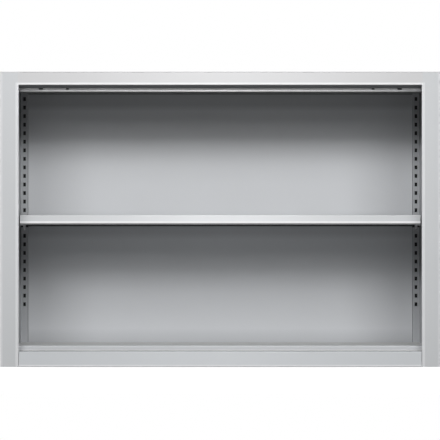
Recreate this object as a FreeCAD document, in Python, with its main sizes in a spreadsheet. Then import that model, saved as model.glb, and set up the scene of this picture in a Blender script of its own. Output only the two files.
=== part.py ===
import FreeCAD, Part
import math
import os
import re
import Sketcher

# Roll front cabinet: a folded steel carcass whose two tambour shutters part sideways and run back
# round the corners, in curved tracks, into pockets between the side casings and the liners.
# +X is to the right, +Y to the back, +Z up. The origin is under the middle of the base.

# Driving dimensions in millimetres
SIZES = [
    # whole cabinet and its sheet
    ("width", 1000),
    ("height", 670),
    ("depth", 430),
    ("sheet", 1.0),
    ("bend", 1.5),
    # side casings: post faces at the front, rivet flanges at the back
    ("post_width", 42.4),
    ("post_return", 12),
    ("post_lip", 9),
    ("rear_flange", 20),
    ("rivet_head", 1.2),
    # header and plinth rails between the posts
    ("header_height", 30),
    ("header_lip", 14),
    ("header_fold", 0.3),
    ("rail_flange", 26),
    ("rail_seam", 0.6),
    ("plinth_height", 35.2),
    ("plinth_lip", 20),
    # pans that carry the tracks, and hat stiffeners
    ("pan_lip", 11),
    ("hat_width", 44),
    ("hat_foot", 16),
    ("hat_inset", 60),
    # liner: walls, slotted uprights, floor and ceiling
    ("side_pocket", 34),
    ("front_pocket", 41),
    ("rear_pocket", 42),
    ("liner_hem", 6),
    ("upright_width", 17),
    ("upright_depth", 9),
    ("upright_foot", 12),
    ("floor_rise", 47.6),
    ("floor_lip", 9.7),
    ("ceiling_drop", 39),
    ("ceiling_lip", 7),
    # slots for the shelf clips
    ("slot_width", 6.5),
    ("slot_height", 9),
    ("slot_pitch", 20),
    ("slot_inset", 8),
    ("lowest_slot", 136.5),
    ("front_slot_inset", 34),
    # shutters: path, tracks and slats
    ("shutter_setback", 35),
    ("turn_radius", 22.5),
    ("rear_run", 80),
    ("track_wall", 1.1),
    ("track_base", 1.5),
    ("track_groove", 10),
    ("track_rise", 36.3),
    ("track_drop", 36),
    ("slat_clear", 0.6),
    ("slat_pitch", 15),
    ("slat_count", 32),
    ("slat_crown", 2.2),
    ("slat_back", 1.9),
    ("slat_play", 2),
    ("bead_radius", 1.05),
    ("socket_clear", 0.2),
    ("socket_wall", 0.65),
    ("neck_thickness", 1.0),
    ("joint_gap", 0.6),
    # stiles
    ("stile_width", 26),
    ("stile_depth", 12),
    ("stile_wall", 1.5),
    ("stile_gap", 4.8),
    ("stile_play", 3),
    ("link_reach", 13),
    ("web_width", 2.4),
    ("cap_thickness", 1.8),
    ("cap_plug", 8),
    ("strip_thickness", 1.2),
    ("strip_width", 9),
    ("meeting_gap", 0.4),
    # flush pulls
    ("pull_width", 17),
    ("pull_height", 90),
    ("pull_depth", 7.5),
    ("pull_wall", 1.2),
    ("pull_rim", 2),
    ("pull_gap", 36),
    # lock
    ("lock_rise", 335),
    ("barrel_radius", 6),
    ("barrel_proud", 1.5),
    ("barrel_length", 6),
    ("keyway_width", 1.4),
    ("keyway_height", 6),
    ("running_gap", 0.35),
    ("rose_radius", 9.5),
    ("rose_thickness", 1.1),
    ("bolt_throw", 9),
    ("bolt_thickness", 2.2),
    ("bolt_height", 13),
    ("crank_thickness", 1.4),
    ("drive_pin_radius", 1.2),
    ("case_height", 38),
    ("keeper_height", 30),
    # shelf and its clips
    ("shelf_slot", 9),
    ("shelf_seat", 6.2),
    ("shelf_lip", 22.3),
    ("shelf_hem", 8),
    ("shelf_side_gap", 0.6),
    ("shelf_setback", 65),
    ("shelf_back_gap", 1),
    ("clip_play", 0.7),
    ("clip_plate", 1.5),
    ("clip_drop", 13),
    ("clip_ledge", 17),
    # levellers and small fasteners
    ("leveller_inset", 62),
    ("pad_radius", 15),
    ("pad_height", 6),
    ("stud_radius", 4),
    ("collar_across", 13),
    ("collar_height", 5),
    ("nut_height", 6.5),
    ("leveller_drop", 12),
    ("screw_head_radius", 5),
    ("screw_head_height", 3.2),
    ("screw_count", 3),
    ("rivet_radius", 3.2),
    ("rivet_crown", 1.1),
    ("rivet_count", 6),
]

# Places worked out from the driving dimensions
PLACES = [
    ("half_width", "width / 2"),
    ("front", "-depth / 2"),
    ("rear", "depth / 2 - rivet_head"),
    ("roof", "height - sheet"),
    ("casing_inner", "half_width - sheet"),
    ("opening_half", "half_width - post_width"),
    ("rail_back", "front + post_return"),
    ("rail_half", "opening_half - rail_seam"),
    ("back_inner", "rear - 2 * sheet"),
    ("pan_back", "rear - sheet - bend"),
    # liner
    ("liner_half", "half_width - side_pocket"),
    ("liner_front", "front + front_pocket"),
    ("liner_back", "depth / 2 - rear_pocket"),
    ("upright_half", "liner_half - upright_width"),
    ("upright_front", "liner_back - upright_depth"),
    ("ceiling_top", "height - ceiling_drop"),
    # tracks
    ("lower_mouth", "track_rise"),
    ("upper_mouth", "height - track_drop"),
    ("lower_pan", "lower_mouth - track_groove - track_base"),
    ("upper_pan", "upper_mouth + track_groove + track_base"),
    ("run_front", "front + shutter_setback"),
    ("run_side", "casing_inner - track_wall - slat_clear - slat_crown"),
    ("run_rear", "back_inner - track_wall - slat_clear - slat_crown"),
    ("turn_x", "run_side - turn_radius"),
    ("turn_sag", "turn_radius - sqrt(turn_radius ^ 2 - slat_pitch ^ 2 / 4)"),
    ("groove_inner", "slat_back + turn_sag + slat_clear"),
    ("groove_outer", "slat_crown + slat_clear"),
    # stiles: lead is the leading face of a stile when its shutter is open
    ("lead", "turn_x - link_reach"),
    ("stile_back", "run_front - slat_crown - stile_gap"),
    ("stile_front", "stile_back - stile_depth"),
    ("stile_low", "lower_pan + stile_play"),
    ("stile_high", "upper_pan - stile_play"),
    ("socket_inner", "bead_radius + socket_clear"),
    ("socket_outer", "socket_inner + socket_wall"),
    # lock: the crank sweeps a quarter turn, half to each side of upright
    ("barrel_x", "lead + stile_width / 2"),
    ("pull_rise", "lock_rise - (case_height + pull_height) / 2 - pull_gap"),
    ("crank_radius", "bolt_throw / sqrt(2)"),
    ("crank_rise", "bolt_throw / 2"),
    ("bore_radius", "barrel_radius + running_gap"),
    ("crank_front", "stile_front - barrel_proud + barrel_length"),
    ("crank_back", "crank_front + crank_thickness"),
    ("bolt_front", "crank_back + running_gap"),
    ("bolt_back", "bolt_front + bolt_thickness"),
    # slots, up to the ceiling, and the shelf that is hooked into one row of them
    ("slot_count", "floor((ceiling_top - lowest_slot) / slot_pitch) + 1"),
    ("seat_slot", "lowest_slot + shelf_slot * slot_pitch"),
    ("shelf_low", "seat_slot + shelf_seat"),
    ("shelf_top", "shelf_low + shelf_lip"),
    ("shelf_half", "opening_half - shelf_side_gap"),
    ("shelf_front", "front + shelf_setback"),
    ("shelf_back", "upright_front - shelf_back_gap"),
    ("front_slot", "liner_front + front_slot_inset"),
    ("rear_slot", "liner_half - slot_inset"),
    # levellers: the stud stays in its nut when the foot is down
    ("stud_top", "lower_pan + nut_height + leveller_drop - running_gap"),
]

doc = FreeCAD.newDocument("roll_front_cabinet")
sizes = doc.addObject("Spreadsheet::Sheet", "Sizes")
places = doc.addObject("Spreadsheet::Sheet", "Places")
prefix = {}
pieces = []


def bind(text):
    """The expression with each named value led by the sheet that holds it."""
    return re.sub(r"[a-z_]+", lambda word: prefix.get(word.group(), word.group()), text)


for row, (name, number) in enumerate(SIZES, start=1):
    sizes.set(f"A{row}", name)
    sizes.set(f"B{row}", str(number))
    sizes.setAlias(f"B{row}", name)
    prefix[name] = f"Sizes.{name}"
for row, (name, formula) in enumerate(PLACES, start=1):
    places.set(f"A{row}", name)
    places.set(f"B{row}", "=" + bind(formula))
    places.setAlias(f"B{row}", name)
    prefix[name] = name
prefix.update({name: f"Places.{name}" for name, formula in PLACES})
doc.recompute()


def value(text):
    """The number that an expression has now."""
    return float(sizes.evalExpression(bind(text)))


def flip(text, side):
    """The expression on its own side of the middle: side is 1 for right and -1 for left."""
    return text if side > 0 else f"-({text})"


def side_name(side):
    return "right" if side > 0 else "left"


def new_body(label):
    body = doc.addObject("PartDesign::Body", label)
    body.Label = label
    pieces.append(body)
    return body


def new_sketch(body, name, plane, offset="0"):
    """A sketch on one of the body's own origin planes, moved along the plane's normal."""
    base = next(f for f in body.Origin.OriginFeatures if f.Role == plane)
    sketch = body.newObject("Sketcher::SketchObject", name)
    sketch.AttachmentSupport = [(base, "")]
    sketch.MapMode = "FlatFace"
    sketch.setExpression("AttachmentOffset.Base.z", bind(offset))
    return sketch


def pin_point(sketch, geometry, end, x, y):
    """Holds one end of a line at x, y from the sketch's origin."""
    for kind, text in (("DistanceX", x), ("DistanceY", y)):
        number = value(text)
        index = sketch.addConstraint(Sketcher.Constraint(kind, -1, 1, geometry, end, number))
        sketch.setExpression(f"Constraints[{index}]", bind(text))


def along(text, step, length):
    """The expression moved by a length along one axis, where step is -1, 0 or 1."""
    if step == 0:
        return text
    return f"{text} {'+' if step > 0 else '-'} ({length})"


def draw(sketch, corners, closed=True):
    """Lines through the corners. A corner with a third value is rounded by that radius."""
    spots = [(value(corner[0]), value(corner[1])) for corner in corners]
    count = len(corners)
    ways = []
    for number in range(count):
        here, there = spots[number], spots[(number + 1) % count]
        run = math.hypot(there[0] - here[0], there[1] - here[1])
        ways.append(((there[0] - here[0]) / run, (there[1] - here[1]) / run))
    entries = []
    exits = []
    for number, corner in enumerate(corners):
        rounded = len(corner) > 2 and (closed or 0 < number < count - 1)
        if not rounded:
            entries.append(corner[:2])
            exits.append(corner[:2])
            continue
        before, after = ways[number - 1], ways[number]
        entries.append(tuple(along(corner[k], -round(before[k]), corner[2]) for k in (0, 1)))
        exits.append(tuple(along(corner[k], round(after[k]), corner[2]) for k in (0, 1)))
    lines = []
    for number in range(count if closed else count - 1):
        start, end = exits[number], entries[(number + 1) % count]
        first = FreeCAD.Vector(value(start[0]), value(start[1]), 0)
        last = FreeCAD.Vector(value(end[0]), value(end[1]), 0)
        lines.append(sketch.addGeometry(Part.LineSegment(first, last)))
    for number, line in enumerate(lines):
        pin_point(sketch, line, 1, *exits[number])
        following = (number + 1) % count
        if entries[following] != exits[following] or (not closed and number == len(lines) - 1):
            pin_point(sketch, line, 2, *entries[following])
    for number, corner in enumerate(corners):
        if not closed and number in (0, count - 1):
            continue
        before, after = lines[number - 1], lines[number]
        if entries[number] == exits[number]:
            sketch.addConstraint(Sketcher.Constraint("Coincident", before, 2, after, 1))
            continue
        way_in, way_out = ways[number - 1], ways[number]
        left = way_in[0] * way_out[1] - way_in[1] * way_out[0] > 0
        turn = 1 if left else -1
        radius = value(corner[2])
        entry = FreeCAD.Vector(value(entries[number][0]), value(entries[number][1]), 0)
        leave = FreeCAD.Vector(value(exits[number][0]), value(exits[number][1]), 0)
        middle = entry + FreeCAD.Vector(-way_in[1], way_in[0], 0) * (radius * turn)
        first, last = (entry, leave) if left else (leave, entry)
        angles = [math.atan2(p.y - middle.y, p.x - middle.x) for p in (first, last)]
        circle = Part.Circle(middle, FreeCAD.Vector(0, 0, 1), radius)
        arc = sketch.addGeometry(Part.ArcOfCircle(circle, *angles))
        ends = (1, 2) if left else (2, 1)
        sketch.addConstraint(Sketcher.Constraint("Coincident", before, 2, arc, ends[0]))
        sketch.addConstraint(Sketcher.Constraint("Coincident", after, 1, arc, ends[1]))
        index = sketch.addConstraint(Sketcher.Constraint("Radius", arc, radius))
        sketch.setExpression(f"Constraints[{index}]", bind(corner[2]))
    return sketch


def folded(line):
    """The closed section of a sheet whose one face runs along the line, with the sheet on the
    right of the way that the line runs. A fold has the usual inner radius, or the one that its
    corner gives as a third value."""
    spots = [(value(corner[0]), value(corner[1])) for corner in line]
    steps = [
        (round(math.copysign(1, b[0] - a[0])) if abs(b[0] - a[0]) > abs(b[1] - a[1]) else 0,
         round(math.copysign(1, b[1] - a[1])) if abs(b[1] - a[1]) > abs(b[0] - a[0]) else 0)
        for a, b in zip(spots, spots[1:])
    ]
    face = []
    other = []
    for number, corner in enumerate(line):
        x, y = corner[:2]
        before = steps[max(number - 1, 0)]
        after = steps[min(number, len(steps) - 1)]
        rights = {(before[1], -before[0]), (after[1], -after[0])}
        moved_x = along(x, sum(way[0] for way in rights), "sheet")
        moved_y = along(y, sum(way[1] for way in rights), "sheet")
        if len(rights) == 1:
            face.append((x, y))
            other.append((moved_x, moved_y))
            continue
        inner = corner[2] if len(corner) > 2 else "bend"
        outer = f"{inner} + sheet"
        turns_right = before[0] * after[1] - before[1] * after[0] < 0
        face.append((x, y, outer if turns_right else inner))
        other.append((moved_x, moved_y, inner if turns_right else outer))
    return face + other[::-1]


def pad(body, sketch, length):
    feature = body.newObject("PartDesign::Pad", f"{body.Name}_pad")
    feature.Profile = sketch
    feature.setExpression("Length", bind(length))
    return feature


def pocket(body, sketch, length, reverse=False):
    """A cut from the sketch's plane, along the plane's normal when reverse is set."""
    doc.recompute()
    before = body.Shape.Volume
    feature = body.newObject("PartDesign::Pocket", f"{body.Name}_pocket")
    feature.Profile = sketch
    feature.Reversed = reverse
    feature.setExpression("Length", bind(length))
    doc.recompute()
    if body.Shape.Volume > before - 1e-6:
        raise ValueError(f"a pocket of {body.Name} cuts nothing")
    return feature


def rectangle(low_x, low_y, high_x, high_y):
    return [(low_x, low_y), (high_x, low_y), (high_x, high_y), (low_x, high_y)]


def column(body, first_cut, sketch, name):
    """The cut repeated up the slot column, at the slot pitch."""
    pattern = body.newObject("PartDesign::LinearPattern", name)
    pattern.Originals = [first_cut]
    pattern.Direction = (sketch, ["V_Axis"])
    pattern.setExpression("Length", bind("slot_pitch * (slot_count - 1)"))
    pattern.setExpression("Occurrences", bind("slot_count"))
    body.Tip = pattern
    doc.recompute()
    return pattern


# Carcass

def side_casing(side):
    """One folded sheet: rivet flange, side, post face, post return and post lip."""
    body = new_body(f"{side_name(side)}_side_casing")
    line = [
        ("half_width - rear_flange", "rear"),
        ("half_width", "rear"),
        ("half_width", "front"),
        ("opening_half", "front"),
        ("opening_half", "rail_back"),
        ("opening_half + post_lip", "rail_back"),
    ]
    sketch = new_sketch(body, f"{body.Name}_section", "XY_Plane")
    section = folded(line)
    draw(sketch, [(flip(corner[0], side), *corner[1:]) for corner in section])
    pad(body, sketch, "roof")


def top_panel():
    """Flat sheet over the whole plan, its corners rounded like the folds of the casings."""
    body = new_body("top_panel")
    sketch = new_sketch(body, "top_panel_outline", "XY_Plane", "roof")
    fold = "bend + sheet"
    draw(sketch, [
        ("-half_width", "front", fold),
        ("half_width", "front", fold),
        ("half_width", "rear"),
        ("-half_width", "rear"),
    ])
    pad(body, sketch, "sheet")


def long_section(label, line, half_length):
    """A section in the YZ plane carried along X, as far to the left as to the right."""
    body = new_body(label)
    sketch = new_sketch(body, f"{label}_section", "YZ_Plane", f"-({half_length})")
    draw(sketch, folded(line))
    pad(body, sketch, f"2 * ({half_length})")
    return body


def rails():
    """Header and plinth rails, flush with the posts and seamed to them."""
    long_section("header_rail", [
        ("rail_back", "height - header_height + header_lip"),
        ("rail_back", "height - header_height"),
        ("front", "height - header_height"),
        ("front", "roof", "header_fold"),
        ("front + rail_flange", "roof"),
    ], "rail_half")
    long_section("plinth_rail", [
        ("front + rail_flange", "0"),
        ("front", "0"),
        ("front", "plinth_height"),
        ("rail_back", "plinth_height"),
        ("rail_back", "plinth_height - plinth_lip"),
    ], "rail_half")


def pans():
    """The two sheets that carry the tracks, lipped at the front and back."""
    long_section("upper_track_pan", [
        ("rail_back", "upper_pan + pan_lip"),
        ("rail_back", "upper_pan"),
        ("pan_back", "upper_pan"),
        ("pan_back", "upper_pan + pan_lip"),
    ][::-1], "casing_inner")
    long_section("lower_track_pan", [
        ("rail_back", "lower_pan - pan_lip"),
        ("rail_back", "lower_pan"),
        ("pan_back", "lower_pan"),
        ("pan_back", "lower_pan - pan_lip"),
    ], "casing_inner")


def plain_panel(label, half_span, near, low, high):
    """An upright flat sheet whose front face stands at near."""
    body = new_body(label)
    sketch = new_sketch(body, f"{label}_outline", "XZ_Plane", f"-({near})")
    draw(sketch, rectangle(f"-({half_span})", low, half_span, high))
    plate = pad(body, sketch, "sheet")
    plate.Reversed = True


def back_rivets():
    """Rivets that hold the back panel to the rear flanges of the casings: low domes, faceted
    because they are so small, each with a flat crown."""
    radius, crown, head = value("rivet_radius"), value("rivet_crown"), value("rivet_head")
    flange_middle = value("half_width - rear_flange / 2")
    rows = round(value("rivet_count"))
    lowest = value("plinth_height")
    highest = value("height - header_height")
    # the dome is cut from a ball whose middle lies this far inside the flange
    sunk = (radius ** 2 - crown ** 2 - head ** 2) / (2 * head)
    ball = math.hypot(radius, sunk)
    ring_shares = (0, 0.45, 0.8, 1)
    facets = 12
    domes = []
    for side in (-1, 1):
        for row in range(rows):
            rise = lowest + (highest - lowest) * row / (rows - 1)
            rings = []
            for share in ring_shares:
                ring = math.sqrt(ball ** 2 - (sunk + head * share) ** 2)
                corners = [FreeCAD.Vector(
                    side * flange_middle + ring * math.cos(2 * math.pi * facet / facets),
                    value("rear") + head * share,
                    rise + ring * math.sin(2 * math.pi * facet / facets),
                ) for facet in range(facets)]
                rings.append(Part.makePolygon(corners + corners[:1]))
            domes.append(Part.makeLoft(rings, True, True))
    solid_group("back_rivets", domes)


def solid_group(label, solids):
    """Several solids under one name."""
    feature = doc.addObject("Part::Feature", label)
    feature.Label = label
    feature.Shape = Part.makeCompound(solids)
    feature.Placement = FreeCAD.Placement()
    pieces.append(feature)
    return feature


# Liner and uprights

def liner(side):
    """One folded sheet: side wall of the compartment and the slotted upright at its back."""
    body = new_body(f"{side_name(side)}_liner")
    line = [
        ("liner_half + liner_hem", "liner_front"),
        ("liner_half", "liner_front"),
        ("liner_half", "upright_front"),
        ("upright_half", "upright_front"),
        ("upright_half", "liner_back"),
        ("upright_half + upright_foot", "liner_back"),
    ]
    sketch = new_sketch(body, f"{body.Name}_section", "XY_Plane", "lower_pan")
    section = folded(line)
    draw(sketch, [(flip(corner[0], side), *corner[1:]) for corner in section])
    pad(body, sketch, "upper_pan - lower_pan")
    rear = new_sketch(body, f"{body.Name}_rear_slot", "XZ_Plane", "-(upright_front - sheet)")
    low, high = "lowest_slot - slot_height / 2", "lowest_slot + slot_height / 2"
    near, far = flip("rear_slot - slot_width / 2", side), flip("rear_slot + slot_width / 2", side)
    draw(rear, rectangle(near, low, far, high))
    first = pocket(body, rear, "3 * sheet")
    column(body, first, rear, f"{body.Name}_rear_slots")
    wall = new_sketch(body, f"{body.Name}_wall_slot", "YZ_Plane", flip("liner_half - sheet", side))
    near, far = "front_slot - slot_width / 2", "front_slot + slot_width / 2"
    draw(wall, rectangle(near, low, far, high))
    first = pocket(body, wall, "3 * sheet", reverse=side > 0)
    column(body, first, wall, f"{body.Name}_wall_slots")


def liner_panels():
    """Floor and ceiling of the compartment, lipped at the front and notched round the uprights."""
    floor = long_section("floor_panel", [
        ("liner_front", "floor_rise - floor_lip"),
        ("liner_front", "floor_rise"),
        ("liner_back", "floor_rise"),
    ], "liner_half")
    ceiling = long_section("ceiling_panel", [
        ("liner_front", "ceiling_top - ceiling_lip"),
        ("liner_front", "ceiling_top"),
        ("liner_back", "ceiling_top"),
    ], "liner_half")
    for body, top in ((floor, "floor_rise"), (ceiling, "ceiling_top")):
        for side in (-1, 1):
            notch = new_sketch(body, f"{body.Name}_{side_name(side)}_notch", "XY_Plane", f"{top} + sheet")
            draw(notch, [(flip(x, side), y) for x, y in [
                ("upright_half", "upright_front"),
                ("liner_half - bend", "upright_front"),
                ("liner_half", "upright_front - bend"),
                ("liner_half + sheet", "upright_front - bend"),
                ("liner_half + sheet", "liner_back + sheet"),
                ("upright_half", "liner_back + sheet"),
            ]])
            pocket(body, notch, "3 * sheet")


def hat_line(middle, low, high):
    """The outer face of a hat section, feet at low and crown at high."""
    half = "hat_width / 2"
    return [
        (f"{middle} - {half} - hat_foot", f"{low} + sheet"),
        (f"{middle} - {half}", f"{low} + sheet"),
        (f"{middle} - {half}", high),
        (f"{middle} + {half}", high),
        (f"{middle} + {half}", f"{low} + sheet"),
        (f"{middle} + {half} + hat_foot", f"{low} + sheet"),
    ]


def hats():
    """Hat stiffeners: two across under the floor, two front to back over the ceiling."""
    length = "liner_half - hat_inset"
    for label, middle in (("front_floor_hat", "liner_front / 2"), ("rear_floor_hat", "liner_back / 2")):
        long_section(label, hat_line(middle, "lower_pan", "floor_rise - sheet"), length)
    for side in (-1, 1):
        body = new_body(f"{side_name(side)}_ceiling_hat")
        start = "liner_front + hat_foot"
        sketch = new_sketch(body, f"{body.Name}_section", "XZ_Plane", f"-({start})")
        middle = flip("liner_half - 2 * hat_width", side)
        draw(sketch, folded(hat_line(middle, "ceiling_top", "upper_pan")))
        hat = pad(body, sketch, "liner_back - liner_front - 2 * hat_foot")
        hat.Reversed = True


def ceiling_screws():
    """Pan heads that hold the feet of the ceiling hats."""
    radius = value("screw_head_radius")
    head = value("screw_head_height")
    seat = value("ceiling_top + sheet")
    rows = round(value("screw_count"))
    start = value("liner_front + hat_foot + hat_foot / 2")
    end = value("liner_back - hat_foot - hat_foot / 2")
    heads = []
    for side in (-1, 1):
        for foot in (-1, 1):
            across = side * value("liner_half - 2 * hat_width") + foot * value("(hat_width + hat_foot) / 2")
            for row in range(rows):
                place = FreeCAD.Vector(across, start + (end - start) * row / (rows - 1), seat)
                blank = Part.makeCylinder(radius, head, place)
                rim = [edge for edge in blank.Edges if edge.Curve.TypeId == "Part::GeomCircle"
                       and edge.CenterOfMass.z > seat + head / 2]
                heads.append(blank.makeFillet(head / 2, rim))
    solid_group("ceiling_screws", heads)


# Tracks

def track(side, level):
    """A grooved rail swept along the shutter's path: front run, turn, side run, turn, rear run."""
    upper = level == "upper"
    body = new_body(f"{side_name(side)}_{level}_track")
    mouth, pan = f"{level}_mouth", f"{level}_pan"
    spine = new_sketch(body, f"{body.Name}_path", "XY_Plane", pan)
    draw(spine, [
        ("0", "run_front"),
        (flip("run_side", side), "run_front", "turn_radius"),
        (flip("run_side", side), "run_rear", "turn_radius"),
        (flip("turn_x - rear_run", side), "run_rear"),
    ], closed=False)
    floor = f"{pan} - track_base" if upper else f"{pan} + track_base"
    profile = new_sketch(body, f"{body.Name}_section", "YZ_Plane")
    draw(profile, [
        ("run_front - groove_outer - track_wall", pan),
        ("run_front + groove_inner + track_wall", pan),
        ("run_front + groove_inner + track_wall", mouth),
        ("run_front + groove_inner", mouth),
        ("run_front + groove_inner", floor),
        ("run_front - groove_outer", floor),
        ("run_front - groove_outer", mouth),
        ("run_front - groove_outer - track_wall", mouth),
    ])
    sweep = body.newObject("PartDesign::AdditivePipe", f"{body.Name}_sweep")
    sweep.Profile = profile
    sweep.Spine = (spine, [f"Edge{number + 1}" for number in range(len(spine.Geometry))])
    sweep.Mode = "Standard"
    sweep.Transition = "Transformed"


# Slats

def polar(radius, degrees, along_x=0.0):
    angle = math.radians(degrees)
    return FreeCAD.Vector(along_x + radius * math.cos(angle), radius * math.sin(angle), 0)


def slat_section():
    """The section of one slat in its own plane: the bead's centre at the origin, the socket's
    centre one pitch along X, and the crowned outer face towards +Y."""
    pitch = value("slat_pitch")
    crown, back = value("slat_crown"), value("slat_back")
    bead, inner, outer = value("bead_radius"), value("socket_inner"), value("socket_outer")
    half_neck = value("neck_thickness / 2")
    shoulder = outer + value("joint_gap")
    most_turn = math.degrees(2 * math.asin(pitch / 2 / value("turn_radius")))
    neck_angle = math.degrees(math.asin(half_neck / inner))
    play_share = 0.12
    upper = neck_angle * (1 + play_share)
    lower = -(most_turn + neck_angle) * (1 + play_share)
    neck_start = math.degrees(math.asin(half_neck / bead))
    corner = FreeCAD.Vector(shoulder, outer, 0)
    edges = [
        Part.Arc(polar(bead, -neck_start), polar(bead, 180), polar(bead, neck_start)),
        Part.LineSegment(polar(bead, neck_start), FreeCAD.Vector(shoulder, half_neck, 0)),
        Part.LineSegment(FreeCAD.Vector(shoulder, half_neck, 0), corner),
        Part.Arc(corner, FreeCAD.Vector((shoulder + pitch) / 2, crown, 0), polar(outer, 90, pitch)),
        Part.Arc(polar(outer, 90, pitch), polar(outer, (90 + upper) / 2, pitch), polar(outer, upper, pitch)),
        Part.LineSegment(polar(outer, upper, pitch), polar(inner, upper, pitch)),
        Part.Arc(polar(inner, upper, pitch), polar(inner, 180, pitch), polar(inner, lower, pitch)),
        Part.LineSegment(polar(inner, lower, pitch), polar(outer, lower, pitch)),
    ]
    under = FreeCAD.Vector(pitch, -back, 0)
    if lower > -90:
        middle = polar(outer, (lower - 90) / 2, pitch)
        edges.append(Part.Arc(polar(outer, lower, pitch), middle, polar(outer, -90, pitch)))
        if back > outer:
            edges.append(Part.LineSegment(polar(outer, -90, pitch), under))
    else:
        edges.append(Part.LineSegment(polar(outer, lower, pitch), under))
    edges += [
        Part.LineSegment(under, FreeCAD.Vector(shoulder, -back, 0)),
        Part.LineSegment(FreeCAD.Vector(shoulder, -back, 0), FreeCAD.Vector(shoulder, -half_neck, 0)),
        Part.LineSegment(FreeCAD.Vector(shoulder, -half_neck, 0), polar(bead, -neck_start)),
    ]
    return Part.Face(Part.Wire([edge.toShape() for edge in edges]))


def path_point(length):
    """The point of the right-hand path at a length from the first link, which lies at the start
    of the front turn."""
    radius = value("turn_radius")
    turn = radius * math.pi / 2
    side_run = value("run_rear - run_front") - 2 * radius
    turn_x, side_x = value("turn_x"), value("run_side")
    front_y, rear_y = value("run_front"), value("run_rear")
    if length < 0:
        return FreeCAD.Vector(turn_x + length, front_y, 0)
    if length < turn:
        angle = length / radius
        return FreeCAD.Vector(turn_x + radius * math.sin(angle), front_y + radius * (1 - math.cos(angle)), 0)
    length -= turn
    if length < side_run:
        return FreeCAD.Vector(side_x, front_y + radius + length, 0)
    length -= side_run
    if length < turn:
        angle = length / radius
        return FreeCAD.Vector(turn_x + radius * math.cos(angle), rear_y - radius * (1 - math.sin(angle)), 0)
    return FreeCAD.Vector(turn_x - (length - turn), rear_y, 0)


def link_chain(first_length):
    """The joints of the slat chain: each lies on the path, one pitch in a straight line from the
    one before it."""
    pitch = value("slat_pitch")
    halvings = 40
    joints = [path_point(first_length)]
    length = first_length
    for link in range(round(value("slat_count"))):
        low, high = length, length + 2 * pitch
        for halving in range(halvings):
            middle = (low + high) / 2
            if path_point(middle).distanceToPoint(joints[-1]) < pitch:
                low = middle
            else:
                high = middle
        length = (low + high) / 2
        joints.append(path_point(length))
    return joints


def slats(side):
    """The shutter's slats at rest in their pocket, each hooked to the next by bead and socket."""
    low = value("lower_pan + track_base + slat_clear / 2")
    high = value("upper_pan - track_base - slat_play")
    section = slat_section()
    joints = link_chain(0)
    solids = []
    for start, end in zip(joints, joints[1:]):
        way = end - start
        slat = section.extrude(FreeCAD.Vector(0, 0, high - low))
        # the crowned face looks away from the middle of the turns
        turned = slat.mirror(FreeCAD.Vector(), FreeCAD.Vector(0, 1, 0))
        turned.Placement = FreeCAD.Placement(
            FreeCAD.Vector(start.x, start.y, low),
            FreeCAD.Rotation(FreeCAD.Vector(0, 0, 1), math.degrees(math.atan2(way.y, way.x))),
        ).multiply(turned.Placement)
        if side < 0:
            turned = turned.mirror(FreeCAD.Vector(), FreeCAD.Vector(1, 0, 0))
        solids.append(turned)
    solid_group(f"{side_name(side)}_slats", solids)


# Stiles

def stile(side):
    """The leading bar of a shutter: a hollow box in front of the slats, and behind it a blade in
    the line of the slats, which runs in the tracks and ends in the socket of the first slat."""
    body = new_body(f"{side_name(side)}_stile")
    inner_x, outer_x = "lead", "lead + stile_width"
    blade_front, blade_back = "run_front - slat_back", "run_front + slat_back"
    box = new_sketch(body, f"{body.Name}_box", "XY_Plane", "stile_low")
    draw(box, [(flip(x, side), y) for x, y in rectangle(inner_x, "stile_front", outer_x, "stile_back")])
    pad(body, box, "stile_high - stile_low")
    hollow = new_sketch(body, f"{body.Name}_hollow", "XY_Plane", "stile_low")
    draw(hollow, [(flip(x, side), y) for x, y in rectangle(
        f"{inner_x} + stile_wall", "stile_front + stile_wall",
        f"{outer_x} - stile_wall", "stile_back - stile_wall")])
    pocket(body, hollow, "stile_high - stile_low", reverse=True)
    blade = new_sketch(body, f"{body.Name}_blade", "XY_Plane", "stile_low")
    draw(blade, [(flip(x, side), y) for x, y in [
        (f"{inner_x} + stile_wall", "stile_back"),
        (f"{inner_x} + stile_wall", blade_back),
        ("turn_x + socket_inner / 4", blade_back),
        ("turn_x + 5 * socket_inner / 4", blade_front),
        (f"{inner_x} + stile_wall + web_width", blade_front),
        (f"{inner_x} + stile_wall + web_width", "stile_back"),
    ]])
    pad(body, blade, "stile_high - stile_low")
    for name, low, high in (
        ("lower", "stile_low", "lower_mouth + stile_play / 2"),
        ("upper", "upper_mouth - stile_play / 2", "stile_high"),
    ):
        notch = new_sketch(body, f"{body.Name}_{name}_notch", "XY_Plane", low)
        draw(notch, [(flip(x, side), y) for x, y in rectangle(
            inner_x, "stile_back", "turn_x", blade_front)])
        pocket(body, notch, f"{high} - ({low})", reverse=True)
    pull = new_sketch(body, f"{body.Name}_pull_window", "XZ_Plane", "-(stile_front)")
    half, tall = "pull_width / 2", "pull_height / 2"
    draw(pull, [(flip(x, side), z) for x, z in rectangle(
        f"barrel_x - {half}", f"pull_rise - {tall}", f"barrel_x + {half}", f"pull_rise + {tall}")])
    pocket(body, pull, "stile_wall")
    return body


def link_socket(side):
    """The socket that the blade of a stile ends in, cut for the bead of the first slat."""
    body = doc.getObject(f"{side_name(side)}_stile")
    ring = new_sketch(body, f"{body.Name}_bead_seat", "XY_Plane", "stile_low")
    circle = ring.addGeometry(Part.Circle(
        FreeCAD.Vector(side * value("turn_x"), value("run_front"), 0),
        FreeCAD.Vector(0, 0, 1), value("socket_inner")))
    pin_point(ring, circle, 3, flip("turn_x", side), "run_front")
    index = ring.addConstraint(Sketcher.Constraint("Radius", circle, value("socket_inner")))
    ring.setExpression(f"Constraints[{index}]", bind("socket_inner"))
    pocket(body, ring, "stile_high - stile_low", reverse=True)


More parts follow.
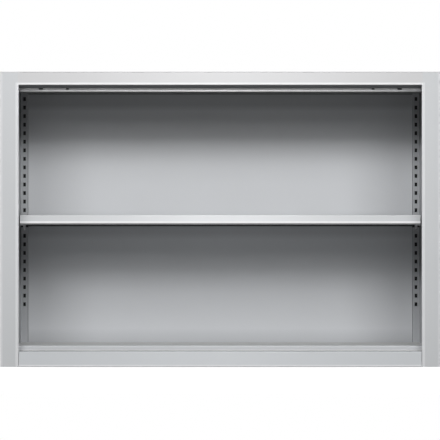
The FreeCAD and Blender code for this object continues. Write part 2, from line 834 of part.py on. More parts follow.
def stile_fittings(side):
    """End caps, meeting strip and flush pull of a stile."""
    name = side_name(side)
    x0, x1 = value("lead"), value("lead + stile_width")
    y0, y1 = value("stile_front"), value("stile_back")
    wall, cap, plug = value("stile_wall"), value("cap_thickness"), value("cap_plug")
    low, high = value("stile_low"), value("stile_high")

    def block(a, b, c):
        """A box between two places on each axis, on the stile's own side of the middle."""
        left = min(side * a[0], side * a[1])
        return Part.makeBox(a[1] - a[0], b[1] - b[0], c[1] - c[0], FreeCAD.Vector(left, b[0], c[0]))

    caps = []
    for foot, way in ((low, 1), (high, -1)):
        plate = block((x0, x1), (y0, y1), sorted((foot - way * cap, foot)))
        core = block((x0 + wall, x1 - wall), (y0 + wall, y1 - wall), sorted((foot, foot + way * plug)))
        caps.append(plate.fuse(core).removeSplitter())
    solid_group(f"{name}_stile_caps", caps)

    strip, width = value("strip_thickness"), value("strip_width")
    middle = (y0 + y1) / 2
    bar = block((x0 - strip, x0), (middle - width / 2, middle + width / 2), (low, high))
    rise = value("lock_rise")
    slot = value("bolt_height / 2 + running_gap") if side > 0 else value("bolt_height / 2 + 2 * running_gap")
    bolt_y = (value("bolt_front - running_gap"), value("bolt_back + running_gap"))
    bar = bar.cut(block((x0 - 2 * strip, x0 + strip), bolt_y, (rise - slot, rise + slot)))
    solid_group(f"{name}_meeting_strip", [bar])

    middle_x = value("barrel_x")
    half, tall, rim = value("pull_width / 2"), value("pull_height / 2"), value("pull_rim")
    skin, sunk, rise = value("pull_wall"), value("pull_depth"), value("pull_rise")
    play = value("running_gap / 2")
    flange = block((middle_x - half - rim, middle_x + half + rim), (y0 - skin, y0),
                   (rise - tall - rim, rise + tall + rim))
    cup = block((middle_x - half + play, middle_x + half - play), (y0 - skin, y0 + sunk),
                (rise - tall + play, rise + tall - play))
    well = block((middle_x - half + skin, middle_x + half - skin), (y0 - 2 * skin, y0 + sunk - skin),
                 (rise - tall + skin, rise + tall - skin))
    body = flange.fuse(cup).removeSplitter()
    corners = [edge for edge in well.Edges if abs(edge.tangentAt(edge.FirstParameter).y) > 0.9]
    well = well.makeFillet(half / 2, corners)
    solid_group(f"{name}_flush_pull", [body.cut(well)])


# Lock

def lock():
    """Cam lock in the right stile: the barrel's crank pin slides the bolt into the left stile."""
    body = doc.getObject("right_stile")
    bore = new_sketch(body, "right_stile_barrel_bore", "XZ_Plane", "-(stile_front)")
    circle = bore.addGeometry(Part.Circle(
        FreeCAD.Vector(value("barrel_x"), value("lock_rise"), 0),
        FreeCAD.Vector(0, 0, 1), value("bore_radius")))
    pin_point(bore, circle, 3, "barrel_x", "lock_rise")
    index = bore.addConstraint(Sketcher.Constraint("Radius", circle, value("bore_radius")))
    bore.setExpression(f"Constraints[{index}]", bind("bore_radius"))
    pocket(body, bore, "stile_wall")
    for side in (-1, 1):
        edge = doc.getObject(f"{side_name(side)}_stile")
        gap = "running_gap" if side > 0 else "2 * running_gap"
        slot = new_sketch(edge, f"{edge.Name}_bolt_slot", "YZ_Plane", flip("lead", side))
        draw(slot, rectangle(
            "bolt_front - running_gap", f"lock_rise - bolt_height / 2 - {gap}",
            "bolt_back + running_gap", f"lock_rise + bolt_height / 2 + {gap}"))
        pocket(edge, slot, "stile_wall", reverse=side > 0)

    centre = FreeCAD.Vector(value("barrel_x"), value("stile_front"), value("lock_rise"))
    back = FreeCAD.Vector(0, 1, 0)
    radius, bore_r = value("barrel_radius"), value("bore_radius")
    crank, pin = value("crank_radius"), value("drive_pin_radius")
    gap, rise = value("running_gap"), value("crank_rise")
    front, length = value("stile_front - barrel_proud"), value("barrel_length")

    def at(x, y, z):
        return FreeCAD.Vector(centre.x + x, y, centre.z + z)

    barrel = Part.makeCylinder(radius, length, at(0, front, 0), back)
    hub = Part.makeCylinder(radius / 2, value("crank_thickness"), at(0, front + length, 0), back)
    end = Part.makeCylinder(2 * pin, value("crank_thickness"), at(rise, front + length, rise), back)
    arm = Part.makeBox(crank, value("crank_thickness"), 2 * pin, at(0, front + length, -pin))
    half_sweep = 45
    arm.rotate(at(0, 0, 0), back, -half_sweep)
    drive_start = value("crank_back")
    drive_length = value("bolt_back") - drive_start
    drive = Part.makeCylinder(pin, drive_length, at(rise, drive_start, rise), back)
    key_w, key_h = value("keyway_width"), value("keyway_height")
    keyway = Part.makeBox(key_w, length / 2, key_h, at(-key_w / 2, front - gap, -key_h / 2))
    turned = barrel.fuse([hub, arm, end, drive]).removeSplitter().cut(keyway)
    solid_group("lock_barrel", [turned])

    tall, thick = value("bolt_height"), value("bolt_thickness")
    bolt_y = value("bolt_front")
    nose = value("lead + running_gap") - centre.x
    tail = rise + pin + gap + 2 * pin
    plate = Part.makeBox(tail - nose, thick, tall, at(nose, bolt_y, -tall / 2))
    slot_half = pin + gap
    slot_floor = rise - pin - gap
    ear_height = crank + pin + gap + 2 * pin
    ear = Part.makeBox(4 * slot_half, thick, ear_height + tall / 2, at(rise - 2 * slot_half, bolt_y, -tall / 2))
    bolt = plate.fuse(ear).removeSplitter()
    cut_height = crank + pin + gap - slot_floor
    window = Part.makeBox(2 * slot_half, 3 * thick, cut_height, at(rise - slot_half, bolt_y - thick, slot_floor))
    solid_group("lock_bolt", [bolt.cut(window)])

    rose = Part.makeCylinder(value("rose_radius"), value("rose_thickness"),
                             at(0, value("stile_front - rose_thickness"), 0), back)
    rose_bore = Part.makeCylinder(bore_r, 3 * value("rose_thickness"),
                                  at(0, value("stile_front - 2 * rose_thickness"), 0), back)
    rim = [edge for edge in rose.Edges if edge.Curve.TypeId == "Part::GeomCircle"
           and edge.CenterOfMass.y < value("stile_front - rose_thickness / 2")]
    solid_group("lock_rose", [rose.makeFillet(value("rose_thickness / 2"), rim).cut(rose_bore)])

    wall, case_tall = value("stile_wall"), value("case_height")
    inner_front, inner_back = value("stile_front + stile_wall"), value("stile_back - stile_wall")
    left, right = value("lead + stile_wall") - centre.x, value("lead + stile_width - stile_wall") - centre.x
    case = Part.makeBox(right - left, inner_back - inner_front, case_tall,
                        at(left, inner_front, -case_tall / 2))
    bore_cut = Part.makeCylinder(bore_r, value("crank_front") - inner_front + gap,
                                 at(0, inner_front - gap, 0), back)
    sweep_r = crank + 2 * pin + gap
    sweep = Part.makeCylinder(sweep_r, value("bolt_front") - value("crank_front"),
                              at(0, value("crank_front"), 0), back)
    channel_low = -tall / 2 - gap
    channel_high = ear_height + gap
    channel = Part.makeBox(right - left + 2 * wall, inner_back - bolt_y + gap / 2, channel_high - channel_low,
                           at(left - wall, bolt_y - gap / 2, channel_low))
    solid_group("lock_case", [case.cut([bore_cut, sweep, channel])])

    keeper_tall = value("keeper_height")
    plate = Part.makeBox(wall, inner_back - inner_front, keeper_tall,
                         FreeCAD.Vector(-value("lead") - 2 * wall, inner_front, centre.z - keeper_tall / 2))
    hole_half = tall / 2 + 2 * gap
    hole = Part.makeBox(3 * wall, thick + 2 * gap, 2 * hole_half,
                        FreeCAD.Vector(-value("lead") - 3 * wall, bolt_y - gap, centre.z - hole_half))
    solid_group("keeper_plate", [plate.cut(hole)])


# Shelf

def shelf():
    """A tray turned upside down: lipped on all four sides, hemmed at the front and back."""
    body = long_section("shelf_panel", [
        ("shelf_front + shelf_hem", "shelf_low"),
        ("shelf_front", "shelf_low"),
        ("shelf_front", "shelf_top"),
        ("shelf_back", "shelf_top"),
        ("shelf_back", "shelf_low"),
        ("shelf_back - shelf_hem", "shelf_low"),
    ], "shelf_half")
    for side in (-1, 1):
        start = "shelf_half - sheet" if side > 0 else "-shelf_half"
        cheek = new_sketch(body, f"shelf_{side_name(side)}_cheek", "YZ_Plane", start)
        draw(cheek, rectangle("shelf_front + sheet + bend", "shelf_low", "shelf_back - sheet - bend",
                              "shelf_top - sheet / 2"))
        pad(body, cheek, "sheet")
    low = "shelf_low + sheet"
    middle = "(shelf_front + shelf_back) / 2"
    inverted = [
        (f"{middle} + hat_width / 2 + hat_foot", "shelf_top - 2 * sheet"),
        (f"{middle} + hat_width / 2", "shelf_top - 2 * sheet"),
        (f"{middle} + hat_width / 2", low),
        (f"{middle} - hat_width / 2", low),
        (f"{middle} - hat_width / 2", "shelf_top - 2 * sheet"),
        (f"{middle} - hat_width / 2 - hat_foot", "shelf_top - 2 * sheet"),
    ]
    long_section("shelf_stiffener", inverted, "shelf_half - hat_inset")


def clip_section():
    """Section of a shelf clip, with depth measured from the slotted face (minus is in front) and
    height from the middle of its slot: ledge, plate, tab through the slot, and hook."""
    top, thick = value("shelf_seat"), value("clip_plate")
    ledge, drop = value("clip_ledge"), value("clip_drop")
    wall, tab_top = value("sheet"), value("slot_height - clip_play") / 2
    tab_low = tab_top - 3 * thick
    hook = value("slot_height") - tab_low
    play = value("clip_play") / 2
    return [
        (-ledge, top), (0, top), (0, tab_top), (wall + play + thick, tab_top), (wall + play + thick, -hook),
        (wall + play, -hook), (wall + play, tab_low), (0, tab_low), (0, top - drop), (-thick, top - drop),
        (-thick, top - thick), (-ledge, top - thick),
    ]


def shelf_clips():
    """Four clips, two hooked in the rear uprights and two in the liner walls near the front."""
    wide = value("slot_width - clip_play")
    slot = value("seat_slot")
    solids = []
    for side in (-1, 1):
        rear_x = side * value("rear_slot") - wide / 2
        corners = [FreeCAD.Vector(rear_x, value("upright_front") + a, slot + b) for a, b in clip_section()]
        face = Part.Face(Part.makePolygon(corners + corners[:1]))
        solids.append(face.extrude(FreeCAD.Vector(wide, 0, 0)))
        front_y = value("front_slot") - wide / 2
        corners = [FreeCAD.Vector(side * (value("liner_half") + a), front_y, slot + b)
                   for a, b in clip_section()]
        face = Part.Face(Part.makePolygon(corners + corners[:1]))
        solids.append(face.extrude(FreeCAD.Vector(0, wide, 0)))
    solid_group("shelf_clips", solids)


# Levellers

def leveller_spots():
    across = value("half_width - leveller_inset")
    along_y = value("depth / 2 - leveller_inset")
    return [(row, column_side, column_side * across, row_side * along_y)
            for row, row_side in (("front", -1), ("rear", 1)) for column_side in (-1, 1)]


def hexagon(across, low, tall, x, y):
    corner = across / math.sqrt(3)
    points = [FreeCAD.Vector(x + corner * math.cos(math.pi * k / 3), y + corner * math.sin(math.pi * k / 3), low)
              for k in range(6)]
    return Part.Face(Part.makePolygon(points + points[:1])).extrude(FreeCAD.Vector(0, 0, tall))


def levellers():
    """Screw-down feet: pad, hex collar and stud, each turned in a weld nut on the lower pan."""
    pad_r, pad_h = value("pad_radius"), value("pad_height")
    stud_r, stud_top = value("stud_radius"), value("stud_top")
    across, collar_h = value("collar_across"), value("collar_height")
    gap, nut_h = value("running_gap"), value("nut_height")
    pan_top = value("lower_pan")
    nuts = []
    for row, side, x, y in leveller_spots():
        disc = Part.makeCylinder(pad_r, pad_h, FreeCAD.Vector(x, y, 0))
        disc = disc.makeChamfer(pad_h / 3, [edge for edge in disc.Edges if edge.CenterOfMass.z > pad_h / 2
                                            and edge.Curve.TypeId == "Part::GeomCircle"])
        collar = hexagon(across, pad_h, collar_h, x, y)
        stud = Part.makeCylinder(stud_r, stud_top - pad_h, FreeCAD.Vector(x, y, pad_h))
        foot = disc.fuse([collar, stud]).removeSplitter()
        solid_group(f"{row}_{side_name(side)}_leveller", [foot])
        nut = hexagon(across, pan_top, nut_h, x, y)
        bore = Part.makeCylinder(stud_r + gap, 3 * nut_h, FreeCAD.Vector(x, y, pan_top - nut_h))
        nuts.append(nut.cut(bore))
    solid_group("leveller_nuts", nuts)
    pan = doc.getObject("lower_track_pan")
    holes = new_sketch(pan, "lower_track_pan_holes", "XY_Plane", "lower_pan - pan_lip")
    for row, side, x, y in leveller_spots():
        across_text = flip("half_width - leveller_inset", side)
        along_text = flip("depth / 2 - leveller_inset", 1 if row == "rear" else -1)
        circle = holes.addGeometry(Part.Circle(FreeCAD.Vector(x, y, 0), FreeCAD.Vector(0, 0, 1), stud_r + gap))
        pin_point(holes, circle, 3, across_text, along_text)
        index = holes.addConstraint(Sketcher.Constraint("Radius", circle, stud_r + gap))
        holes.setExpression(f"Constraints[{index}]", bind("stud_radius + running_gap"))
    pocket(pan, holes, "2 * pan_lip", reverse=True)


def write_pieces():
    """Checks every object and writes one file for each piece."""
    doc.recompute()
    for item in doc.Objects:
        if "Invalid" in item.State or "Error" in item.State:
            raise ValueError(f"{item.Label} failed: {item.State}")
    os.makedirs("parts", exist_ok=True)
    for piece in pieces:
        shape = piece.Shape
        if shape.isNull() or not shape.isValid() or not shape.Solids:
            raise ValueError(f"{piece.Label} has no valid solid")
        shape.exportStep(f"parts/{piece.Label}.step")
        print(piece.Label, len(shape.Solids), round(shape.Volume))


for hand in (-1, 1):
    side_casing(hand)
top_panel()
rails()
pans()
plain_panel("back_panel", "casing_inner - bend", "back_inner", "0", "roof")
plain_panel("inner_back_panel", "liner_half + liner_hem", "liner_back", "lower_pan", "upper_pan")
back_rivets()
for hand in (-1, 1):
    liner(hand)
liner_panels()
hats()
ceiling_screws()
for hand in (-1, 1):
    for level_name in ("lower", "upper"):
        track(hand, level_name)
    slats(hand)
    stile(hand)
    link_socket(hand)
    stile_fittings(hand)
lock()
shelf()
shelf_clips()
levellers()
write_pieces()
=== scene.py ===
import bmesh
import bpy
import math
import numpy as np
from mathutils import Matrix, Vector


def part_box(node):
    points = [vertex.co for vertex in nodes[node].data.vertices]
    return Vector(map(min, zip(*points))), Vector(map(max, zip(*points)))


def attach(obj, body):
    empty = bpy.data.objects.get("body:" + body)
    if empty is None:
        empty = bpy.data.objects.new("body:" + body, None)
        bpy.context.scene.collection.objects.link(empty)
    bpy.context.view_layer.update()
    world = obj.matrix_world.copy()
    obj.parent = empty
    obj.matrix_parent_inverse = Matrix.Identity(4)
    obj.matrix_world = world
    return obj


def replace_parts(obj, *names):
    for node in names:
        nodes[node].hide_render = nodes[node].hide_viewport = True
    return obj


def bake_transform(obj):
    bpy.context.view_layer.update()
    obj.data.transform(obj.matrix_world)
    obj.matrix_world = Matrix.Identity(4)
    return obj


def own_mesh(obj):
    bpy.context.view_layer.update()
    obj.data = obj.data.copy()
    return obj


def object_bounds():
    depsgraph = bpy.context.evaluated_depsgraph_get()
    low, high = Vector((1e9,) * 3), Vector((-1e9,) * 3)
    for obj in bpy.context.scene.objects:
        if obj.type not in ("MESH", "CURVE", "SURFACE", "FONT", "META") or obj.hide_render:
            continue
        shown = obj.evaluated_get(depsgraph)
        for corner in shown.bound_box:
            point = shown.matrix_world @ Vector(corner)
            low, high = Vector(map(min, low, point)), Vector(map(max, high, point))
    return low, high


# Roll front cabinet, dressed in the order that it is put together: painted carcass, liner, tracks,
# shutters, lock, shelf and feet, and then the studio that it is photographed in.
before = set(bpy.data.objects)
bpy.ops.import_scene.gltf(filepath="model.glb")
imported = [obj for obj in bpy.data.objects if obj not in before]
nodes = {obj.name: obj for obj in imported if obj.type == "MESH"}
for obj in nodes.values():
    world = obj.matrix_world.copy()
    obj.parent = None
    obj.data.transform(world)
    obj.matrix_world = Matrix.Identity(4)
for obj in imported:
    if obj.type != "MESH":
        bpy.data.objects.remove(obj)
cad_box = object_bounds()


# Side casings, top, rails and back: deep-drawing steel sheet of 1 mm, folded on a press brake and
# powder coated in a satin light grey. The stoved powder keeps a faint orange peel, drifts a little
# in tone, and is paler along the folds and cut edges: partly rubbed wear, partly a painted highlight.
def linear(red, green, blue):
    """A colour of 0 to 255 as the linear light that a shader works in."""
    share = np.array([red, green, blue]) / 255
    light = np.where(share <= 0.04045, share / 12.92, ((share + 0.055) / 1.055) ** 2.4)
    return (*light.tolist(), 1.0)


def effect(name, inputs, outputs):
    """An empty shader group for an effect that several finishes share, with its two end nodes."""
    group = bpy.data.node_groups.new(name, "ShaderNodeTree")
    for label, kind, start in inputs:
        socket = group.interface.new_socket(label, in_out="INPUT", socket_type=kind)
        if start is not None:
            socket.default_value = start
    for label, kind in outputs:
        group.interface.new_socket(label, in_out="OUTPUT", socket_type=kind)
    return group, group.nodes.new("NodeGroupInput"), group.nodes.new("NodeGroupOutput")


def texture(tree, kind, place, scale, **settings):
    """A noise or Voronoi texture node read at a place, with its named inputs set."""
    node = tree.nodes.new(kind)
    tree.links.new(place, node.inputs["Vector"])
    node.inputs["Scale"].default_value = scale
    for label, amount in settings.items():
        node.inputs[label].default_value = amount
    return node


def spread(tree, source, low, high, new_low, new_high):
    """A value moved from one range to another and held within it."""
    node = tree.nodes.new("ShaderNodeMapRange")
    tree.links.new(source, node.inputs["Value"])
    for label, amount in (("From Min", low), ("From Max", high), ("To Min", new_low), ("To Max", new_high)):
        if isinstance(amount, (int, float)):
            node.inputs[label].default_value = amount
        else:
            tree.links.new(amount, node.inputs[label])
    return node.outputs["Result"]


def blend_colours(tree, share, first, second, how="MIX"):
    """Two colours mixed by a share; each is a socket or four numbers."""
    node = tree.nodes.new("ShaderNodeMix")
    node.data_type = "RGBA"
    node.blend_type = how
    for socket, given in ((node.inputs[0], share), (node.inputs[6], first), (node.inputs[7], second)):
        if isinstance(given, (int, float, tuple)):
            socket.default_value = given
        else:
            tree.links.new(given, socket)
    return node.outputs[2]


def arithmetic(tree, kind, first, second):
    """One step of arithmetic on two values; each is a socket or a number."""
    node = tree.nodes.new("ShaderNodeMath")
    node.operation = kind
    for socket, given in zip(node.inputs, (first, second)):
        if isinstance(given, (int, float)):
            socket.default_value = given
        else:
            tree.links.new(given, socket)
    return node.outputs[0]


powder, powder_in, powder_out = effect(
    "stoved_powder",
    [("Place", "NodeSocketVector", None), ("Colour", "NodeSocketColor", (0.6, 0.6, 0.6, 1)),
     ("Drift", "NodeSocketFloat", 0.02), ("Sheen", "NodeSocketFloat", 0.42)],
    [("Colour", "NodeSocketColor"), ("Roughness", "NodeSocketFloat"), ("Height", "NodeSocketFloat")])
peel_scale, cloud_scale, speck_scale = 420.0, 3.5, 1400.0
gloss_below, gloss_above, speck_share = 0.04, 0.05, 0.25
powder_place = powder_in.outputs["Place"]
peel = texture(powder, "ShaderNodeTexNoise", powder_place, peel_scale, Detail=2.0)
clouds = texture(powder, "ShaderNodeTexNoise", powder_place, cloud_scale, Detail=4.0, Roughness=0.6)
specks = texture(powder, "ShaderNodeTexNoise", powder_place, speck_scale, Detail=1.0)
darker = arithmetic(powder, "SUBTRACT", 1.0, powder_in.outputs["Drift"])
lighter = arithmetic(powder, "ADD", 1.0, powder_in.outputs["Drift"])
tone = spread(powder, clouds.outputs["Fac"], 0.3, 0.7, darker, lighter)
grains = spread(powder, specks.outputs["Fac"], 0.25, 0.75, 0.985, 1.015)
powder.links.new(blend_colours(powder, 1.0, powder_in.outputs["Colour"],
                               arithmetic(powder, "MULTIPLY", tone, grains), "MULTIPLY"),
                 powder_out.inputs["Colour"])
rough_low = arithmetic(powder, "SUBTRACT", powder_in.outputs["Sheen"], gloss_below)
rough_high = arithmetic(powder, "ADD", powder_in.outputs["Sheen"], gloss_above)
powder.links.new(spread(powder, clouds.outputs["Fac"], 0.3, 0.7, rough_low, rough_high),
                 powder_out.inputs["Roughness"])
powder.links.new(arithmetic(powder, "ADD", peel.outputs["Fac"],
                            arithmetic(powder, "MULTIPLY", specks.outputs["Fac"], speck_share)),
                 powder_out.inputs["Height"])

rub, rub_in, rub_out = effect(
    "edge_rub",
    [("Place", "NodeSocketVector", None), ("Rounded", "NodeSocketVector", None),
     ("Amount", "NodeSocketFloat", 0.5)],
    [("Mask", "NodeSocketFloat")])
flat_normal = rub.nodes.new("ShaderNodeNewGeometry")
turned = rub.nodes.new("ShaderNodeVectorMath")
turned.operation = "DOT_PRODUCT"
rub.links.new(flat_normal.outputs["Normal"], turned.inputs[0])
rub.links.new(rub_in.outputs["Rounded"], turned.inputs[1])
rub_starts, rub_full, patch_scale = 0.999, 0.9, 38.0
worn = spread(rub, turned.outputs["Value"], rub_starts, rub_full, 0.0, 1.0)
patches = texture(rub, "ShaderNodeTexNoise", rub_in.outputs["Place"], patch_scale, Detail=3.0)
rub.links.new(arithmetic(rub, "MULTIPLY", arithmetic(rub, "MULTIPLY", worn, rub_in.outputs["Amount"]),
                         spread(rub, patches.outputs["Fac"], 0.35, 0.65, 0.2, 1.0)),
              rub_out.inputs["Mask"])


def new_finish(name):
    """A new material, its node tree, its shader and the Object coordinates."""
    finish = bpy.data.materials.new(name)
    finish.use_nodes = True
    tree = finish.node_tree
    place = tree.nodes.new("ShaderNodeTexCoord").outputs["Object"]
    return finish, tree, tree.nodes["Principled BSDF"], place


def add_effect(tree, group, place, **values):
    """An effect group placed in a material, with its own values."""
    node = tree.nodes.new("ShaderNodeGroup")
    node.node_tree = group
    tree.links.new(place, node.inputs["Place"])
    for label, amount in values.items():
        node.inputs[label].default_value = amount
    return node


def add_bump(tree, shader, height, depth, rounded=None):
    """A bump of a real depth in metres on a shader, over a rounded normal where one is given."""
    bump = tree.nodes.new("ShaderNodeBump")
    bump.inputs["Distance"].default_value = depth
    tree.links.new(height, bump.inputs["Height"])
    if rounded is not None:
        tree.links.new(rounded, bump.inputs["Normal"])
    tree.links.new(bump.outputs["Normal"], shader.inputs["Normal"])


paler_edge_and_highlight, edge_wear_and_highlight, peel_depth = linear(232, 233, 235), 0.35, 0.00003


def powder_coat(name, colour, drift=0.012, sheen=0.4, edge=0.0006, gloss=0.5):
    """Stoved powder on sheet steel: drifting tone, orange peel, softened edges painted paler as wear and
    highlight.
    """
    finish, tree, shader, place = new_finish(name)
    coat = add_effect(tree, powder, place, Colour=colour, Drift=drift, Sheen=sheen)
    rounded = tree.nodes.new("ShaderNodeBevel")
    rounded.samples = 4
    rounded.inputs["Radius"].default_value = edge
    wear = add_effect(tree, rub, place, Amount=edge_wear_and_highlight)
    tree.links.new(rounded.outputs["Normal"], wear.inputs["Rounded"])
    # painted highlight and wear: the rounded edges are mixed towards a paler colour
    paler = blend_colours(tree, wear.outputs["Mask"], coat.outputs["Colour"], paler_edge_and_highlight)
    tree.links.new(paler, shader.inputs["Base Color"])
    tree.links.new(coat.outputs["Roughness"], shader.inputs["Roughness"])
    shader.inputs["Specular IOR Level"].default_value = gloss
    add_bump(tree, shader, coat.outputs["Height"], peel_depth, rounded=rounded.outputs["Normal"])
    return finish


# a span far below every place, so that a zone is full along that axis
everywhere = (-9.0, -8.0)
zone, zone_in, zone_out = effect(
    "zone",
    [("Place", "NodeSocketVector", None), ("Start", "NodeSocketVector", (everywhere[0],) * 3),
     ("Full", "NodeSocketVector", (everywhere[1],) * 3), ("Patchy", "NodeSocketFloat", 0.0)],
    [("Mask", "NodeSocketFloat")])
split_up = []
for label in ("Place", "Start", "Full"):
    split_up.append(zone.nodes.new("ShaderNodeSeparateXYZ"))
    zone.links.new(zone_in.outputs[label], split_up[-1].inputs[0])
blots = texture(zone, "ShaderNodeTexNoise", zone_in.outputs["Place"], patch_scale, Detail=3.0)
least = arithmetic(zone, "SUBTRACT", 1.0, zone_in.outputs["Patchy"])
mask = spread(zone, blots.outputs["Fac"], 0.3, 0.7, least, 1.0)
for axis in "XYZ":
    value, start, full = (node.outputs[axis] for node in split_up)
    if axis == "X":
        value = arithmetic(zone, "ABSOLUTE", value, 0.0)
    mask = arithmetic(zone, "MULTIPLY", mask, spread(zone, value, start, full, 0.0, 1.0))
zone.links.new(mask, zone_out.inputs["Mask"])


def tone_within(finish, colour, patchy=0.0, **spans):
    """Turns a finish to another colour inside spans of x, y and z, in patches if wanted. A span is
    where the colour starts and where it is full, and x is counted outwards from the middle. A span
    of four numbers also says where the colour starts and is full from the other side."""
    tree = finish.node_tree
    shader = tree.nodes["Principled BSDF"]
    place = next(node for node in tree.nodes if node.type == "TEX_COORD").outputs["Object"]
    first = {axis: spans.get(axis, everywhere)[:2] for axis in "xyz"}
    second = {axis: spans.get(axis, everywhere)[2:] or everywhere for axis in "xyz"}
    shares = [add_effect(tree, zone, place, Start=[side[axis][0] for axis in "xyz"],
                         Full=[side[axis][1] for axis in "xyz"], Patchy=patchy).outputs["Mask"]
              for side in (first, second) if any(span != everywhere for span in side.values())]
    share = shares[0] if len(shares) == 1 else arithmetic(tree, "MULTIPLY", *shares)
    before = shader.inputs["Base Color"].links[0].from_socket
    tree.links.new(blend_colours(tree, share, before, colour), shader.inputs["Base Color"])
    return share


def finish_nodes(finish, *names):
    """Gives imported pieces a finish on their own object's material slots."""
    for name in names:
        piece = nodes[name]
        if not piece.material_slots:
            piece.data.materials.append(None)
        for place in piece.material_slots:
            place.link = "OBJECT"
            place.material = finish


outer_gloss = 0.35
casing_paint = powder_coat("casing_paint", linear(202, 204, 206), gloss=outer_gloss)
header_paint = powder_coat("header_paint", linear(203, 203, 204), gloss=outer_gloss)
plinth_paint = powder_coat("plinth_paint", linear(208, 211, 214), gloss=outer_gloss)
top_paint = powder_coat("top_paint", linear(203, 204, 205), sheen=0.55, gloss=0.2)
# painted highlights: the posts are painted paler along the opening and their outer edges, and the
# header and the plinth along their folds; the rails are painted paler towards the middle as painted light
patchy_highlight = 0.2
front_skin, edge_skin = (-0.2140, -0.2145), (-0.2100, -0.2125)
post_inner_edge, post_outer_edge, under_header = (0.4655, 0.4640), (0.4930, 0.4975), (0.647, 0.644)
header_fold, plinth_foot, rail_middle = (0.6465, 0.6432), (0.0054, 0.0042), (0.42, 0.05)
# painted highlight on the posts' inner edges under the header, and on their outer edges
tone_within(casing_paint, linear(222, 223, 225), x=post_inner_edge, y=front_skin, z=under_header,
            patchy=patchy_highlight)
tone_within(casing_paint, linear(220, 221, 223), x=post_outer_edge, y=edge_skin, patchy=patchy_highlight)
# painted light: the plinth and the header are paler towards their middles
tone_within(plinth_paint, linear(216, 219, 222), x=rail_middle)
tone_within(header_paint, linear(212, 212, 213), x=rail_middle)
# painted highlight along the header's lower fold and along the plinth's foot
tone_within(header_paint, linear(246, 246, 247), y=front_skin, z=header_fold, patchy=patchy_highlight)
tone_within(plinth_paint, linear(236, 237, 239), z=plinth_foot, patchy=patchy_highlight)
finish_nodes(casing_paint, "left_side_casing", "right_side_casing", "back_panel")
finish_nodes(header_paint, "header_rail")
finish_nodes(top_paint, "top_panel")
finish_nodes(plinth_paint, "plinth_rail")
finish_nodes(casing_paint, "upper_track_pan", "lower_track_pan")


# Back rivets: blind aluminium rivets with low domed heads, left bare. Each head keeps the small pit
# where the mandrel snapped off.
def lathe(radius, height, turns):
    """Rings of a profile turned round an upright axis: at every turn a point stands at the radius,
    one number or a ring of them for each row, times the turn's cosine and sine, and at the height."""
    angle = np.linspace(0, 2 * np.pi, turns, endpoint=False)
    radius = np.broadcast_to(np.asarray(radius).reshape(len(height), -1), (len(height), turns))
    return np.stack([radius * np.cos(angle), radius * np.sin(angle),
                     np.broadcast_to(np.asarray(height)[:, None], radius.shape)], axis=-1)


def new_piece(name, shells, body, finish, crease=32):
    """One object made of shells, each a grid of points in rings, row by row. Each ring closes on
    itself, four neighbours make a face, and the first and last ring each close with one face. The
    normals are turned outwards, and edges above the crease angle in degrees are left sharp."""
    points, faces, start = [], [], 0
    for shell in shells:
        rows, columns = shell.shape[:2]
        row, column = np.meshgrid(np.arange(rows - 1), np.arange(columns), indexing="ij")
        here = start + row * columns + column
        beside = start + row * columns + (column + 1) % columns
        faces += np.stack([here, beside, beside + columns, here + columns], axis=-1).reshape(-1, 4).tolist()
        caps = np.arange(columns)[None] + [[start], [start + (rows - 1) * columns]]
        faces += caps.tolist()
        points.append(shell.reshape(-1, 3))
        start += rows * columns
    mesh = bpy.data.meshes.new(name)
    mesh.from_pydata(np.concatenate(points).tolist(), [], faces)
    work = bmesh.new()
    work.from_mesh(mesh)
    bmesh.ops.recalc_face_normals(work, faces=work.faces)
    work.to_mesh(mesh)
    work.free()
    mesh.polygons.foreach_set("use_smooth", np.ones(len(mesh.polygons), dtype=bool))
    mesh.set_sharp_from_angle(angle=math.radians(crease))
    mesh.materials.append(finish)
    piece = bpy.data.objects.new(name, mesh)
    bpy.context.scene.collection.objects.link(piece)
    if body:
        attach(piece, body)
    return piece


brushed, brushed_in, brushed_out = effect(
    "brushed_metal",
    [("Place", "NodeSocketVector", None), ("Colour", "NodeSocketColor", (0.6, 0.6, 0.6, 1)),
     ("Sheen", "NodeSocketFloat", 0.3), ("Drift", "NodeSocketFloat", 0.05)],
    [("Colour", "NodeSocketColor"), ("Roughness", "NodeSocketFloat"), ("Height", "NodeSocketFloat")])
stroke_scale, stain_scale = 900.0, 12.0
strokes = texture(brushed, "ShaderNodeTexNoise", brushed_in.outputs["Place"], stroke_scale, Detail=3.0)
stains = texture(brushed, "ShaderNodeTexNoise", brushed_in.outputs["Place"], stain_scale, Detail=5.0)
brushed.links.new(blend_colours(
    brushed, 1.0, brushed_in.outputs["Colour"],
    spread(brushed, stains.outputs["Fac"], 0.3, 0.7,
           arithmetic(brushed, "SUBTRACT", 1.0, brushed_in.outputs["Drift"]),
           arithmetic(brushed, "ADD", 1.0, brushed_in.outputs["Drift"])), "MULTIPLY"),
    brushed_out.inputs["Colour"])
brushed.links.new(spread(brushed, strokes.outputs["Fac"], 0.3, 0.7,
                         arithmetic(brushed, "SUBTRACT", brushed_in.outputs["Sheen"], 0.05),
                         arithmetic(brushed, "ADD", brushed_in.outputs["Sheen"], 0.08)),
                  brushed_out.inputs["Roughness"])
brushed.links.new(strokes.outputs["Fac"], brushed_out.inputs["Height"])


